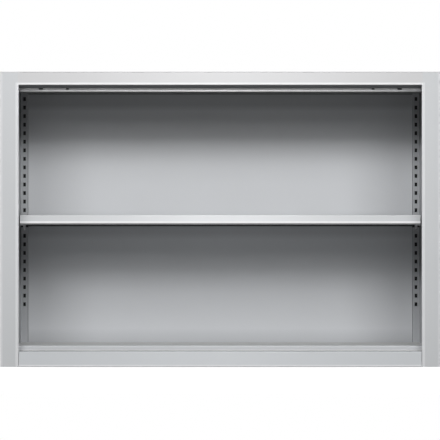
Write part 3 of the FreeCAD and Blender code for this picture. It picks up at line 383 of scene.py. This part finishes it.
def bare_metal(name, colour, sheen=0.3, drift=0.05, stretch=(1, 1, 1), edge=0.0003, depth=0.000004):
    """Uncoated metal whose strokes run along the axis that stretch shrinks."""
    finish, tree, shader, place = new_finish(name)
    drawn = tree.nodes.new("ShaderNodeMapping")
    drawn.inputs["Scale"].default_value = stretch
    tree.links.new(place, drawn.inputs["Vector"])
    coat = add_effect(tree, brushed, drawn.outputs["Vector"], Colour=colour, Sheen=sheen, Drift=drift)
    tree.links.new(coat.outputs["Colour"], shader.inputs["Base Color"])
    tree.links.new(coat.outputs["Roughness"], shader.inputs["Roughness"])
    shader.inputs["Metallic"].default_value = 1.0
    rounded = tree.nodes.new("ShaderNodeBevel")
    rounded.samples = 4
    rounded.inputs["Radius"].default_value = edge
    add_bump(tree, shader, coat.outputs["Height"], depth, rounded=rounded.outputs["Normal"])
    return finish


rivet_metal = bare_metal("rivet_metal", linear(158, 159, 160), sheen=0.5)
zinc = bare_metal("zinc_plate", linear(196, 198, 200), sheen=0.36, drift=0.1)
rivet_low, rivet_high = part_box("back_rivets")
rivet_head = 0.0012
rivet_radius = 0.0032
rivet_seat = rivet_high[1] - rivet_head
pit_rim = 0.42
rivet_turns, rivet_rows = 20, 6
# the last three rings go down into the pit
rivet_dome = np.linspace(np.pi / 2, pit_rim, 8)
rivet_rings = np.concatenate([[0.0001], rivet_radius * np.sin(rivet_dome), [0.0011, 0.0009, 0.0001]])
rivet_shares = np.concatenate([[0.0], np.cos(rivet_dome) / math.cos(pit_rim), [0.93, 0.6, 0.55]])
rivet_shell = lathe(rivet_rings, rivet_head * rivet_shares, rivet_turns)[..., [0, 2, 1]]
rivet_rise = np.linspace(rivet_low[2] + rivet_radius, rivet_high[2] - rivet_radius, rivet_rows)
rivets = [rivet_shell + [across, rivet_seat, rise]
          for across in (rivet_low[0] + rivet_radius, rivet_high[0] - rivet_radius) for rise in rivet_rise]
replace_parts(new_piece("rivet_heads", rivets, "cabinet", rivet_metal), "back_rivets")

# Header seams: the joints of the header and the posts are filled and sanded before painting, so
# that only the plinth's joints show as dark lines.
header_low, header_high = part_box("header_rail")
post_edge, post_flat = 0.4576, 0.4602
# the filler is sanded a hair behind the header's face, and lowest over the joint
seam_front, film, seam_depth = header_low[1], 0.00003, 0.0015
for side, name in ((-1, "left"), (1, "right")):
    seam_ring = np.array([(header_high[0], seam_front + seam_depth), (header_high[0], seam_front + film),
                          (post_edge, seam_front + 2 * film), (post_flat, seam_front + film),
                          (post_edge, seam_front + seam_depth)]) * [side, 1]
    rises = np.linspace(header_low[2] + 0.0005, header_high[2], 5)
    seam = np.concatenate([np.broadcast_to(seam_ring, (5, 5, 2)),
                           np.broadcast_to(rises[:, None, None], (5, 5, 1))], axis=-1)
    new_piece(f"{name}_header_seam", [seam], "cabinet", header_paint)

# Liner: the same sheet and powder inside the cabinet: two side walls folded into slotted uprights,
# floor, ceiling and back, on galvanised hat sections.
inner_gloss = 0.2
back_paint = powder_coat("back_paint", linear(206, 208, 211), gloss=inner_gloss)
# painted shade: the side walls are painted darker than the back; painted highlight: the ceiling near white
wall_paint = powder_coat("wall_paint", linear(174, 176, 179), gloss=inner_gloss)
ceiling_paint = powder_coat("ceiling_paint", linear(250, 250, 251), sheen=0.3, gloss=inner_gloss)
floor_paint = powder_coat("floor_paint", linear(211, 213, 216), gloss=inner_gloss)
# painted shade: the backs of the slots are painted near black, and the uprights get a painted dark line
# under the shelf, where its shadow falls
slot_behind = (0.1643, 0.1647)
upright_face = (0.150, 0.160)
tone_within(wall_paint, linear(36, 37, 38), x=(0.4493, 0.4497), y=slot_behind)
# painted shadow of the shelf on the uprights
tone_within(wall_paint, linear(16, 16, 17), x=(0.4480, 0.4490), y=upright_face,
            z=(0.3155, 0.3175, 0.3250, 0.3240))
# painted shade: the walls are painted darker towards their rear corners, most of all high up in each bay
corner_shade, wall_skin, towards_rear = linear(70, 71, 72), (0.4652, 0.4658), (-0.02, 0.09)
for upper_part in ((0.50, 0.53), (0.17, 0.23, 0.345, 0.340)):
    tone_within(wall_paint, corner_shade, x=wall_skin, y=towards_rear, z=upper_part)
# painted shade: the back is painted darker at the top of each bay and along the floor, dark under the
# ceiling, and with a dark line under the shelf where its shadow falls
for shade, heights in (((180, 182, 185), (0.588, 0.603)), ((132, 133, 135), (0.6258, 0.6275)),
                       ((188, 190, 193), (0.288, 0.303, 0.345, 0.340)),
                       ((52, 53, 54), (0.3180, 0.3196, 0.3250, 0.3240)),
                       ((181, 183, 186), (0.080, 0.048))):
    tone_within(back_paint, linear(*shade), z=heights)
# painted highlight: the ceiling's lip is painted near white in the middle, with a metallic share, and
# darker towards its ends; its lower edge is a painted dark line, and the rest is painted dark as shade
lip_shine, lip_sides, lip_ends = 0.4, (0.05, 0.42), (0.40, 0.432)
lip_lower_edge, behind = (0.6268, 0.6260), (-0.1728, -0.1722)
tone_within(ceiling_paint, linear(203, 204, 205), x=lip_sides)
tone_within(ceiling_paint, linear(170, 171, 172), x=lip_ends)
tone_within(ceiling_paint, linear(72, 73, 74), z=lip_lower_edge)
ceiling_tree = ceiling_paint.node_tree
behind_lip = tone_within(ceiling_paint, linear(86, 87, 88), y=behind)
on_lip = arithmetic(ceiling_tree, "SUBTRACT", 1.0, behind_lip)
polished = arithmetic(ceiling_tree, "MULTIPLY", on_lip, lip_shine)
ceiling_tree.links.new(polished, ceiling_tree.nodes["Principled BSDF"].inputs["Metallic"])
# darker inside the cabinet, behind the floor's lip and the shelf's lip
darker_inside = linear(204, 204, 203)
tone_within(floor_paint, darker_inside, y=(-0.1728, -0.1500), patchy=0.08)
finish_nodes(wall_paint, "left_liner", "right_liner")
finish_nodes(back_paint, "inner_back_panel")
finish_nodes(ceiling_paint, "ceiling_panel")
finish_nodes(floor_paint, "floor_panel")


def galvanised(name, colour, cells=90.0):
    """Hot-dip zinc: flat crystals, each with its own grey and gloss, and a darker seam between."""
    finish, tree, shader, place = new_finish(name)
    crystals = texture(tree, "ShaderNodeTexVoronoi", place, cells, Randomness=1.0)
    tones = tree.nodes.new("ShaderNodeSeparateColor")
    tree.links.new(crystals.outputs["Color"], tones.inputs[0])
    grey = blend_colours(tree, 1.0, colour, spread(tree, tones.outputs[0], 0.0, 1.0, 0.82, 1.06), "MULTIPLY")
    tree.links.new(grey, shader.inputs["Base Color"])
    tree.links.new(spread(tree, tones.outputs[1], 0.0, 1.0, 0.34, 0.52), shader.inputs["Roughness"])
    shader.inputs["Metallic"].default_value = 1.0
    add_bump(tree, shader, crystals.outputs["Distance"], 0.00001)
    return finish


galvanised_steel = galvanised("galvanised_steel", linear(178, 181, 185))
finish_nodes(galvanised_steel, "front_floor_hat", "rear_floor_hat", "left_ceiling_hat", "right_ceiling_hat")

# Ceiling screws: zinc-plated pan heads with a cross recess, which hold the hats to the ceiling. Their
# heads are the dark spots in the gap over the ceiling's lip.
screw_low, screw_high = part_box("ceiling_screws")
screw_radius = 0.005
screw_head = 0.0032
rim_share, recess_depth = 0.45, 0.0015
arm_half, arm_slope, arm_reach, reach_slope = 0.12, 0.05, 0.62, 0.1
# on rings from the middle to the rim, the crown is a half ellipse over a rim, less a cross whose
# depth falls with the distance from the nearest arm and from the middle
out_shares = np.maximum((np.linspace(0, 1, 15) ** 0.7)[::-1], 0.02)
out, turn = np.meshgrid(out_shares, np.linspace(0, 2 * np.pi, 32, endpoint=False), indexing="ij")
from_arm = np.minimum(np.abs(np.cos(turn)), np.abs(np.sin(turn))) * out
cross = np.clip((arm_half - from_arm) / arm_slope, 0, 1) * np.clip((arm_reach - out) / reach_slope, 0, 1)
dome = np.sqrt(np.clip(1 - out ** 2, 0, 1))
crown = screw_head * (rim_share + (1 - rim_share) * dome) - recess_depth * cross
screw_top = np.stack([screw_radius * out * np.cos(turn), screw_radius * out * np.sin(turn), crown], axis=-1)
screw_shell = np.concatenate([screw_top[:1] * [1, 1, 0], screw_top])
hat_middle, foot_offset = 0.378, 0.030
foot_across = sorted({round(side * (hat_middle + foot * foot_offset), 4)
                      for side in (-1, 1) for foot in (-1, 1)})
foot_along = np.linspace(screw_low[1] + screw_radius, screw_high[1] - screw_radius, 3)
screws = [screw_shell + [across, along, screw_low[2]] for across in foot_across for along in foot_along]
screw_metal = bare_metal("screw_metal", linear(120, 121, 123), sheen=0.4)
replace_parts(new_piece("screw_heads", screws, "cabinet", screw_metal), "ceiling_screws")


# Tracks: moulded grey plastic channels that guide the shutters round the corners. The lower pair
# stands on the lower pan, and the upper pair hangs under the upper one.
def moulded(name, colour, sheen=0.45, grain=900.0, depth=0.00002, edge=0.0004, drift=0.03, drawn=False):
    """Moulded plastic with a fine cellular grain, or extruded plastic with die lines along its
    height and a tone of its own for each length, and a little drift in tone and gloss."""
    finish, tree, shader, place = new_finish(name)
    coat = add_effect(tree, powder, place, Colour=colour, Drift=drift, Sheen=sheen)
    colour_now = coat.outputs["Colour"]
    if drawn:
        lines = tree.nodes.new("ShaderNodeMapping")
        lines.inputs["Scale"].default_value = (1, 1, 0.004)
        tree.links.new(place, lines.inputs["Vector"])
        along = texture(tree, "ShaderNodeTexNoise", lines.outputs["Vector"], 2.4 * grain, Detail=2.0)
        relief = along.outputs["Fac"]
        own = tree.nodes.new("ShaderNodeNewGeometry").outputs["Random Per Island"]
        for source, *ranges in ((own, 0.0, 1.0, 0.965, 1.0), (relief, 0.3, 0.7, 0.985, 1.01)):
            tones = spread(tree, source, *ranges)
            colour_now = blend_colours(tree, 1.0, colour_now, tones, "MULTIPLY")
    else:
        relief = texture(tree, "ShaderNodeTexVoronoi", place, grain, Randomness=1.0).outputs["Distance"]
    tree.links.new(colour_now, shader.inputs["Base Color"])
    tree.links.new(coat.outputs["Roughness"], shader.inputs["Roughness"])
    shader.inputs["IOR"].default_value = 1.48
    rounded = tree.nodes.new("ShaderNodeBevel")
    rounded.samples = 4
    rounded.inputs["Radius"].default_value = edge
    add_bump(tree, shader, relief, depth, rounded=rounded.outputs["Normal"])
    return finish


track_plastic = moulded("track_plastic", linear(128, 130, 132))
black_plastic = moulded("black_plastic", linear(42, 43, 45), sheen=0.5, grain=1600.0, depth=0.00004)
finish_nodes(track_plastic, "left_lower_track", "right_lower_track", "left_upper_track", "right_upper_track")

# Seals: soft strip with a pale face and a metallic share, painted pale as a highlight on shaded bands. One
# lies along the top of the ceiling's lip, under the upper track, and is left open in front of the screws.
# One closes the joint from the floor's lip to the plinth.
seal_painted_pale = moulded("seal_painted_pale", linear(240, 240, 241), sheen=0.4, grain=1200.0)
seal_painted_pale.node_tree.nodes["Principled BSDF"].inputs["Metallic"].default_value = 0.6
ceiling_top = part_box("ceiling_panel")[1][2]
seal_ends = [(-0.464, -0.4135), (-0.4035, -0.351), (-0.345, 0.345), (0.351, 0.4035), (0.4135, 0.464)]
seal_middle, seal_half, seal_base, seal_crown = -0.1722, 0.0011, 0.0013, 0.0014
seal_arc = np.linspace(0, np.pi, 7)
seal_outline = np.concatenate([
    [[seal_middle - seal_half, ceiling_top]],
    np.column_stack([seal_middle - seal_half * np.cos(seal_arc),
                     ceiling_top + seal_base + seal_crown * np.sin(seal_arc)]),
    [[seal_middle + seal_half, ceiling_top]]])
seals = [np.stack([np.column_stack([np.full(len(seal_outline), x), seal_outline]) for x in pair])
         for pair in seal_ends]
new_piece("ceiling_seal", seals, "cabinet", seal_painted_pale)

sill_low, sill_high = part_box("floor_panel")
sill_front, sill_top = sill_low[1] + 0.0004, sill_low[2] - 0.0001
sill_depth, sill_round, sill_drop = 0.0030, 0.0012, 0.0030
sill_arc = np.linspace(0, np.pi / 2, 5)
sill_outline = np.concatenate([
    [(sill_front + sill_depth, sill_top), (sill_front, sill_top)],
    np.column_stack([sill_front + sill_round * (1 - np.cos(sill_arc)),
                     sill_low[2] - sill_drop - sill_round * np.sin(sill_arc)]),
    [(sill_front + sill_depth, sill_low[2] - sill_drop - sill_round)]])
across = np.linspace(sill_low[0] + 0.002, sill_high[0] - 0.002, 7)
sill_strip = np.stack([np.column_stack([np.full(len(sill_outline), x), sill_outline]) for x in across])
new_piece("sill_seal", [sill_strip], "cabinet", seal_painted_pale)


# Shutters: extruded pale grey slats, each hooked to the next by a bead in a socket. A shutter's front
# curtain opens out of the corner as its stile moves, and its pocket and rear slats stand for the
# length that is still wound back beside the liner and behind it.
slat_pitch = 0.015


def slat_profile():
    """The closed section of one slat from its bead to its socket, as x along the shutter and y
    outwards: arcs for the bead, the crowned face and the two sides of the socket."""
    bead, inner, outer, half_neck = 0.00105, 0.00125, 0.0019, 0.0005
    shoulder, face_rise, back = 0.0025, 0.0022, 0.0019

    def arc(radius, start, end, count, middle=0.0):
        angle = np.radians(np.linspace(start, end, count))
        return np.stack([middle + radius * np.cos(angle), radius * np.sin(angle)], axis=-1)

    chord = (shoulder + slat_pitch) / 2
    along = np.linspace(shoulder, slat_pitch, 9)
    crown = outer + (face_rise - outer) * (1 - ((along - chord) / (slat_pitch - chord)) ** 2)
    return np.concatenate([
        arc(bead, -28.4, -331.6, 13), [[shoulder, half_neck]],
        np.stack([along, crown], axis=-1),
        arc(outer, 80, 26.4, 5, slat_pitch), arc(inner, 26.4, 290.0, 11, slat_pitch),
        [[slat_pitch, -back]],
        [[shoulder, -back], [shoulder, -half_neck]],
    ])


slat_low, slat_high = 0.0266, 0.642
turn_radius = 0.0225
turn_start = 0.4726
run_front, run_rear = -0.180, 0.2079
quarter = turn_radius * np.pi / 2
side_run = run_rear - run_front - 2 * turn_radius


def path_place(length, rise):
    """Points at a length along the right-hand shutter path, counted from the front turn, and at a
    rise outwards from it. The path is straight, then a quarter turn, straight, and again."""
    length, rise = np.broadcast_arrays(length, rise)
    first = np.clip(length, 0, quarter) / turn_radius
    second = np.clip(length - quarter - side_run, 0, quarter) / turn_radius
    angle = first + second
    x = (turn_start + np.minimum(length, 0) + turn_radius * np.sin(first)
         - turn_radius * (1 - np.cos(second)) - np.maximum(length - 2 * quarter - side_run, 0))
    y = (run_front + turn_radius * (1 - np.cos(first)) + np.clip(length - quarter, 0, side_run)
         + turn_radius * np.sin(second))
    return np.stack([x + rise * np.sin(angle), y - rise * np.cos(angle)], axis=-1)


def slat_shells(starts):
    """Closed shells of the slats whose beads lie at these lengths of the path, from the lower to the
    upper end of the slat."""
    section = slat_profile()
    feet = [path_place(start + section[:, 0], section[:, 1]) for start in starts]
    return [np.stack([np.column_stack([foot, np.full(len(foot), z)]) for z in (slat_low, slat_high)])
            for foot in feet]


slat_plastic = moulded("slat_plastic", linear(205, 206, 208), sheen=0.42, grain=500.0, depth=0.00001,
                       drawn=True)
travel = 0.4582
slat_count, corner_slats, pocket_slats = 32, 2, 27
corner_run, past_stile, past_corner = 0.0224, 0.003, 0.002
for side, name in ((-1, "left"), (1, "right")):
    mirror = np.array([side, 1, 1])
    for part, first, last, axis, anchor in (
            ("pocket", corner_slats, pocket_slats, (0, 1, 0), (0, run_front + 0.020, 0)),
            ("rear", pocket_slats, slat_count, (1, 0, 0), (side * turn_start, 0, 0))):
        stack = [shell * mirror for shell in slat_shells(slat_pitch * np.arange(first, last))]
        piece = new_piece(f"{name}_{part}_slats", stack, "cabinet", slat_plastic)
        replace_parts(piece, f"{name}_slats")
        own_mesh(piece)

    # the curtain is laid out as it is when shut, then gathered towards the corner, so that the
    # smooth share of the stile's travel that each point takes opens it to even slats again
    fixed_end, moving_end = turn_start + corner_run, turn_start
    gathered = np.linspace(moving_end - past_stile, fixed_end + past_corner, 4001)
    share = np.clip((fixed_end - gathered) / (fixed_end - moving_end), 0, 1)
    opened = gathered - travel * share ** 2 * (3 - 2 * share)
    curtain = []
    for shell in slat_shells(slat_pitch * np.arange(slat_count) - travel):
        across = np.interp(shell[..., 0], opened, gathered)
        curtain.append(np.stack([across * side, shell[..., 1], shell[..., 2]], axis=-1))
    piece = new_piece(f"{name}_front_curtain", curtain, None, slat_plastic)
    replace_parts(piece, f"{name}_slats")
    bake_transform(piece)

# Stiles: satin anodised aluminium extrusions with moulded end caps and a rubber strip where they
# meet, each with a black flush pull pressed into its face.
stile_metal = bare_metal("stile_metal", linear(172, 174, 177), sheen=0.38, drift=0.02, stretch=(1, 1, 0.02))
finish_nodes(stile_metal, "left_stile", "right_stile")
finish_nodes(track_plastic, "left_stile_caps", "right_stile_caps")
strip_rubber = moulded("strip_rubber", linear(34, 34, 36), sheen=0.62, grain=2400.0, depth=0.00001)
finish_nodes(strip_rubber, "left_meeting_strip", "right_meeting_strip")


def rounded_ring(half_wide, half_tall, radius, turns):
    """A rounded rectangle as x and z for each turn: the corner arcs' middles plus the radius along
    the angle, with points in four equal runs."""
    angle = np.linspace(0, 2 * np.pi, turns, endpoint=False) + np.pi / turns
    middle_x = np.sign(np.cos(angle)) * (half_wide - radius)
    middle_z = np.sign(np.sin(angle)) * (half_tall - radius)
    return middle_x + radius * np.cos(angle), middle_z + radius * np.sin(angle)


for side, name in ((-1, "left"), (1, "right")):
    low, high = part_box(f"{name}_flush_pull")
    middle_x, middle_z = (low[0] + high[0]) / 2, (low[2] + high[2]) / 2
    half_wide, half_tall = (high[0] - low[0]) / 2, (high[2] - low[2]) / 2
    front_y, back_y = low[1], high[1]
    wall = 0.0012
    depth = back_y - front_y - wall
    quarter_turn = np.linspace(0, np.pi / 2, 6)
    lip_round, floor_round, cup_turns = 0.0013, 0.0016, 48
    # each row: how far in from the flange's edge, how far behind its face, and the corner radius.
    # The shell runs from the middle of the cup's back round its outside and flange into the cup
    rows = [(0.0095, depth + wall, 0.0008), (0.0032, depth + wall, 0.0040),
            (0.0022, depth + wall - 0.001, 0.0044), (0.0022, wall, 0.0044), (0.0, wall, 0.0032),
            (0.0, 0.0005, 0.0032), (0.0003, 0.00008, 0.0030), (0.0008, 0.0, 0.0028)]
    rows += [(0.0018 + lip_round * math.sin(a), lip_round * (1 - math.cos(a)), 0.0046) for a in quarter_turn]
    rows += [(0.0034, 0.0035, 0.0046)]
    rows += [(0.0036 + floor_round * (1 - math.cos(a)), depth - floor_round * (1 - math.sin(a)), 0.0044)
             for a in quarter_turn]
    rows += [(0.0066, depth, 0.0018), (0.0095, depth - 0.0001, 0.0008)]
    rings = []
    for inset, sunk, radius in rows:
        across, up = rounded_ring(half_wide - inset, half_tall - inset,
                                  min(radius, half_wide - inset - 0.0002), cup_turns)
        level = np.full(cup_turns, front_y + sunk)
        rings.append(np.stack([middle_x + across, level, middle_z + up], axis=-1))
    piece = new_piece(f"{name}_pull_cup", [np.array(rings)], f"{name}_shutter", black_plastic)
    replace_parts(piece, f"{name}_flush_pull")

# Lock: a satin chrome barrel with its keyway in a rounded rose, and behind the stile a moulded case
# that guides a zinc-plated bolt into the keeper of the other stile.
chrome = bare_metal("satin_chrome", linear(158, 160, 163), sheen=0.26, drift=0.02)
finish_nodes(chrome, "lock_barrel", "lock_rose")
finish_nodes(zinc, "lock_bolt", "keeper_plate", "leveller_nuts")
finish_nodes(black_plastic, "lock_case")

# Shelf: a folded steel tray turned upside down, with a deep front lip, on four zinc-plated clips. Its
# lip is painted paler in the middle as painted light, and has a painted highlight along the lower fold.
shelf_paint = powder_coat("shelf_paint", linear(208, 210, 212), gloss=outer_gloss)
# painted light: the lip is paler towards its middle
tone_within(shelf_paint, linear(235, 237, 239), x=(0.45, 0.05))
shelf_lip = (-0.1490, -0.1497)
# painted highlight on the lower fold, then the lip's own tone, then painted shade where it turns under
for shade, heights, patches_of in (((250, 250, 251), (0.3318, 0.3300), 0.15),
                                   ((206, 207, 208), (0.3274, 0.3264), 0.0),
                                   ((34, 34, 35), (0.3257, 0.3251), 0.0)):
    tone_within(shelf_paint, linear(*shade), y=shelf_lip, z=heights, patchy=patches_of)
tone_within(shelf_paint, darker_inside, y=(-0.1485, -0.1300), z=(0.3445, 0.3447))
finish_nodes(shelf_paint, "shelf_panel", "shelf_stiffener")
clip_steel = bare_metal("clip_steel", linear(140, 141, 143), sheen=0.4, drift=0.1)
finish_nodes(clip_steel, "shelf_clips")


# Levellers: turned steel feet, zinc plated: a chamfered pad, a hexagon for the spanner and a cut
# thread that runs up into the weld nut.
def leveller_shell(x, y):
    """Pad, hexagon and thread as one surface: radius by height and turn. The hexagon's radius is its
    half width over the cosine of the angle from each flat, and the thread's is a ridge that climbs
    one pitch a turn."""
    turns, half_flats = 48, 0.0065
    pitch, crest, root = 0.00125, 0.004, 0.0033
    angle = np.linspace(0, 2 * np.pi, turns, endpoint=False)
    flat_angle = (angle + np.pi / 6) % (np.pi / 3) - np.pi / 6
    hexagon = half_flats / np.cos(flat_angle)
    rings = [np.full(turns, radius) for radius in (0.0001, 0.0143, 0.0150, 0.0150, 0.0130, 0.0075)]
    heights = [0.0, 0.0, 0.0007, 0.0040, 0.0060, 0.0060]
    rings += [hexagon * share for share in (0.94, 1.0, 1.0, 0.94)]
    heights += [0.0060, 0.0064, 0.0106, 0.0110]
    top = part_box("front_left_leveller")[1][2]
    thread = np.arange(0.0112, top - 0.0008, pitch / 6)
    wave = np.abs(((thread[:, None] - pitch * angle / (2 * np.pi)) / pitch) % 1 - 0.5) * 2
    rings += list(root + (crest - root) * np.clip(wave * 1.25, 0, 1))
    heights += list(thread)
    rings += [np.full(turns, radius) for radius in (root, 0.0026, 0.0001)]
    heights += [top - 0.0006, top, top]
    return lathe(np.array(rings), heights, turns) + [x, y, 0.0]


for row in ("front", "rear"):
    for name in ("left", "right"):
        low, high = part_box(f"{row}_{name}_leveller")
        shell = leveller_shell((low[0] + high[0]) / 2, (low[1] + high[1]) / 2)
        piece = new_piece(f"{row}_{name}_levelling_foot", [shell], f"{row}_{name}_foot", zinc)
        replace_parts(piece, f"{row}_{name}_leveller")

# Studio: a pale floor that shows white to the camera but keeps the cabinet's shadow, white all round,
# two pairs of softboxes in front, a small lamp near the cabinet, and lamps above, behind and beside.
floor_half = 14.0
floor = bpy.data.meshes.new("studio_floor")
floor.from_pydata([(-floor_half, -floor_half, 0), (floor_half, -floor_half, 0),
                   (floor_half, floor_half, 0), (-floor_half, floor_half, 0)], [], [(0, 1, 2, 3)])
floor_piece = bpy.data.objects.new("studio_floor", floor)
bpy.context.scene.collection.objects.link(floor_piece)
floor_finish = bpy.data.materials.new("studio_floor")
floor_finish.use_nodes = True
tree = floor_finish.node_tree
tree.nodes.remove(tree.nodes["Principled BSDF"])
matt = tree.nodes.new("ShaderNodeBsdfDiffuse")
matt.inputs["Color"].default_value = (0.75, 0.75, 0.75, 1)
# what light bounces off the floor comes from a darker grey than the camera sees
bouncing = tree.nodes.new("ShaderNodeBsdfDiffuse")
bouncing.inputs["Color"].default_value = (0.25, 0.25, 0.25, 1)
glow = tree.nodes.new("ShaderNodeEmission")
glow.inputs["Strength"].default_value = 0.6
both = tree.nodes.new("ShaderNodeAddShader")
tree.links.new(matt.outputs[0], both.inputs[0])
tree.links.new(glow.outputs[0], both.inputs[1])
seen = tree.nodes.new("ShaderNodeLightPath")
either = arithmetic(tree, "MAXIMUM", seen.outputs["Is Camera Ray"], seen.outputs["Is Glossy Ray"])
# away from the cabinet the floor fades into the plain white behind it
ground = tree.nodes.new("ShaderNodeTexCoord").outputs["Object"]
reach = tree.nodes.new("ShaderNodeVectorMath")
reach.operation = "LENGTH"
tree.links.new(ground, reach.inputs[0])
white = tree.nodes.new("ShaderNodeEmission")
faded = tree.nodes.new("ShaderNodeMixShader")
fade_start, fade_full = 0.9, 2.2
tree.links.new(spread(tree, reach.outputs["Value"], fade_start, fade_full, 0.0, 1.0), faded.inputs[0])
tree.links.new(both.outputs[0], faded.inputs[1])
tree.links.new(white.outputs[0], faded.inputs[2])
choice = tree.nodes.new("ShaderNodeMixShader")
tree.links.new(either, choice.inputs[0])
tree.links.new(bouncing.outputs[0], choice.inputs[1])
tree.links.new(faded.outputs[0], choice.inputs[2])
# seen from below, the floor lets the camera through to the cabinet's feet
under = tree.nodes.new("ShaderNodeMixShader")
tree.links.new(tree.nodes.new("ShaderNodeNewGeometry").outputs["Backfacing"], under.inputs[0])
tree.links.new(choice.outputs[0], under.inputs[1])
tree.links.new(tree.nodes.new("ShaderNodeBsdfTransparent").outputs[0], under.inputs[2])
tree.links.new(under.outputs[0], tree.nodes["Material Output"].inputs["Surface"])
floor.materials.append(floor_finish)

world = bpy.data.worlds.new("studio_world")
bpy.context.scene.world = world
world.use_nodes = True
tree = world.node_tree
fill = tree.nodes["Background"]
fill.inputs["Color"].default_value = (1, 1, 1, 1)
fill.inputs["Strength"].default_value = 0.0
bright = tree.nodes.new("ShaderNodeBackground")
bright.inputs["Color"].default_value = (1, 1, 1, 1)
bright.inputs["Strength"].default_value = 1.0
seen = tree.nodes.new("ShaderNodeLightPath")
either = arithmetic(tree, "MAXIMUM", seen.outputs["Is Camera Ray"], seen.outputs["Is Transmission Ray"])
either = arithmetic(tree, "MAXIMUM", either, seen.outputs["Is Glossy Ray"])
choice = tree.nodes.new("ShaderNodeMixShader")
tree.links.new(either, choice.inputs[0])
tree.links.new(fill.outputs[0], choice.inputs[1])
tree.links.new(bright.outputs[0], choice.inputs[2])
tree.links.new(choice.outputs[0], tree.nodes["World Output"].inputs["Surface"])


def lamp(name, place, target, width, height, power):
    """A rectangular softbox without a grid that faces its target: its size in metres, its power in
    watts, and its turn from the slope and the heading of the way from the target to it."""
    light = bpy.data.lights.new(name, "AREA")
    light.shape = "RECTANGLE"
    light.size = width
    light.size_y = height
    light.energy = power
    light.spread = math.pi
    holder = bpy.data.objects.new(name, light)
    holder.location = place
    way = np.array(place) - np.array(target)
    flat = math.hypot(way[0], way[1])
    holder.rotation_euler = (math.atan2(flat, way[2]), 0, math.atan2(way[0], -way[1]))
    holder.visible_camera = False
    bpy.context.scene.collection.objects.link(holder)


for side in (-1, 1):
    lamp("softbox", (side * 2.5, -8.0, 3.56), (side * 0.3, -0.2, 0.335), 2.5, 1.42, 152.0)
    lamp("low_softbox", (side * 2.5, -8.0, 2.33), (side * 0.3, -0.2, 0.335), 2.5, 1.03, 44.0)
lamp("near_lamp", (0, -1.3, 1.09), (0, -0.2, 0.45), 0.5, 0.3, 7.5)
lamp("right_rim", (3.0, -0.6, 0.5), (0.5, -0.2, 0.3), 0.6, 0.8, 10.0)
lamp("left_rim", (-3.0, -0.6, 0.5), (-0.5, -0.2, 0.3), 0.6, 0.8, 16.0)
lamp("top_softbox", (0, 1.2, 4.2), (0, 0.2, 0.67), 2.5, 1.6, 45.0)
lamp("rear_softbox", (0, 4.5, 2.2), (0, 0.2, 0.3), 3.5, 1.8, 125.0)
for side in (-1, 1):
    lamp("side_softbox", (side * 4.0, 1.6, 1.6), (side * 0.5, 0.1, 0.3), 1.8, 1.4, 50.0)

camera = bpy.data.cameras.new("camera")
camera.sensor_width = 36.0
camera.lens = 447.0
eye = bpy.data.objects.new("camera", camera)
eye_distance, eye_across, eye_height = 12.4, -0.0006, 0.3335
eye.location = (eye_across, cad_box[0][1] - eye_distance, eye_height)
eye.rotation_euler = (math.pi / 2, 0, 0)
bpy.context.scene.collection.objects.link(eye)
bpy.context.scene.camera = eye
bpy.context.scene.view_settings.view_transform = "Standard"
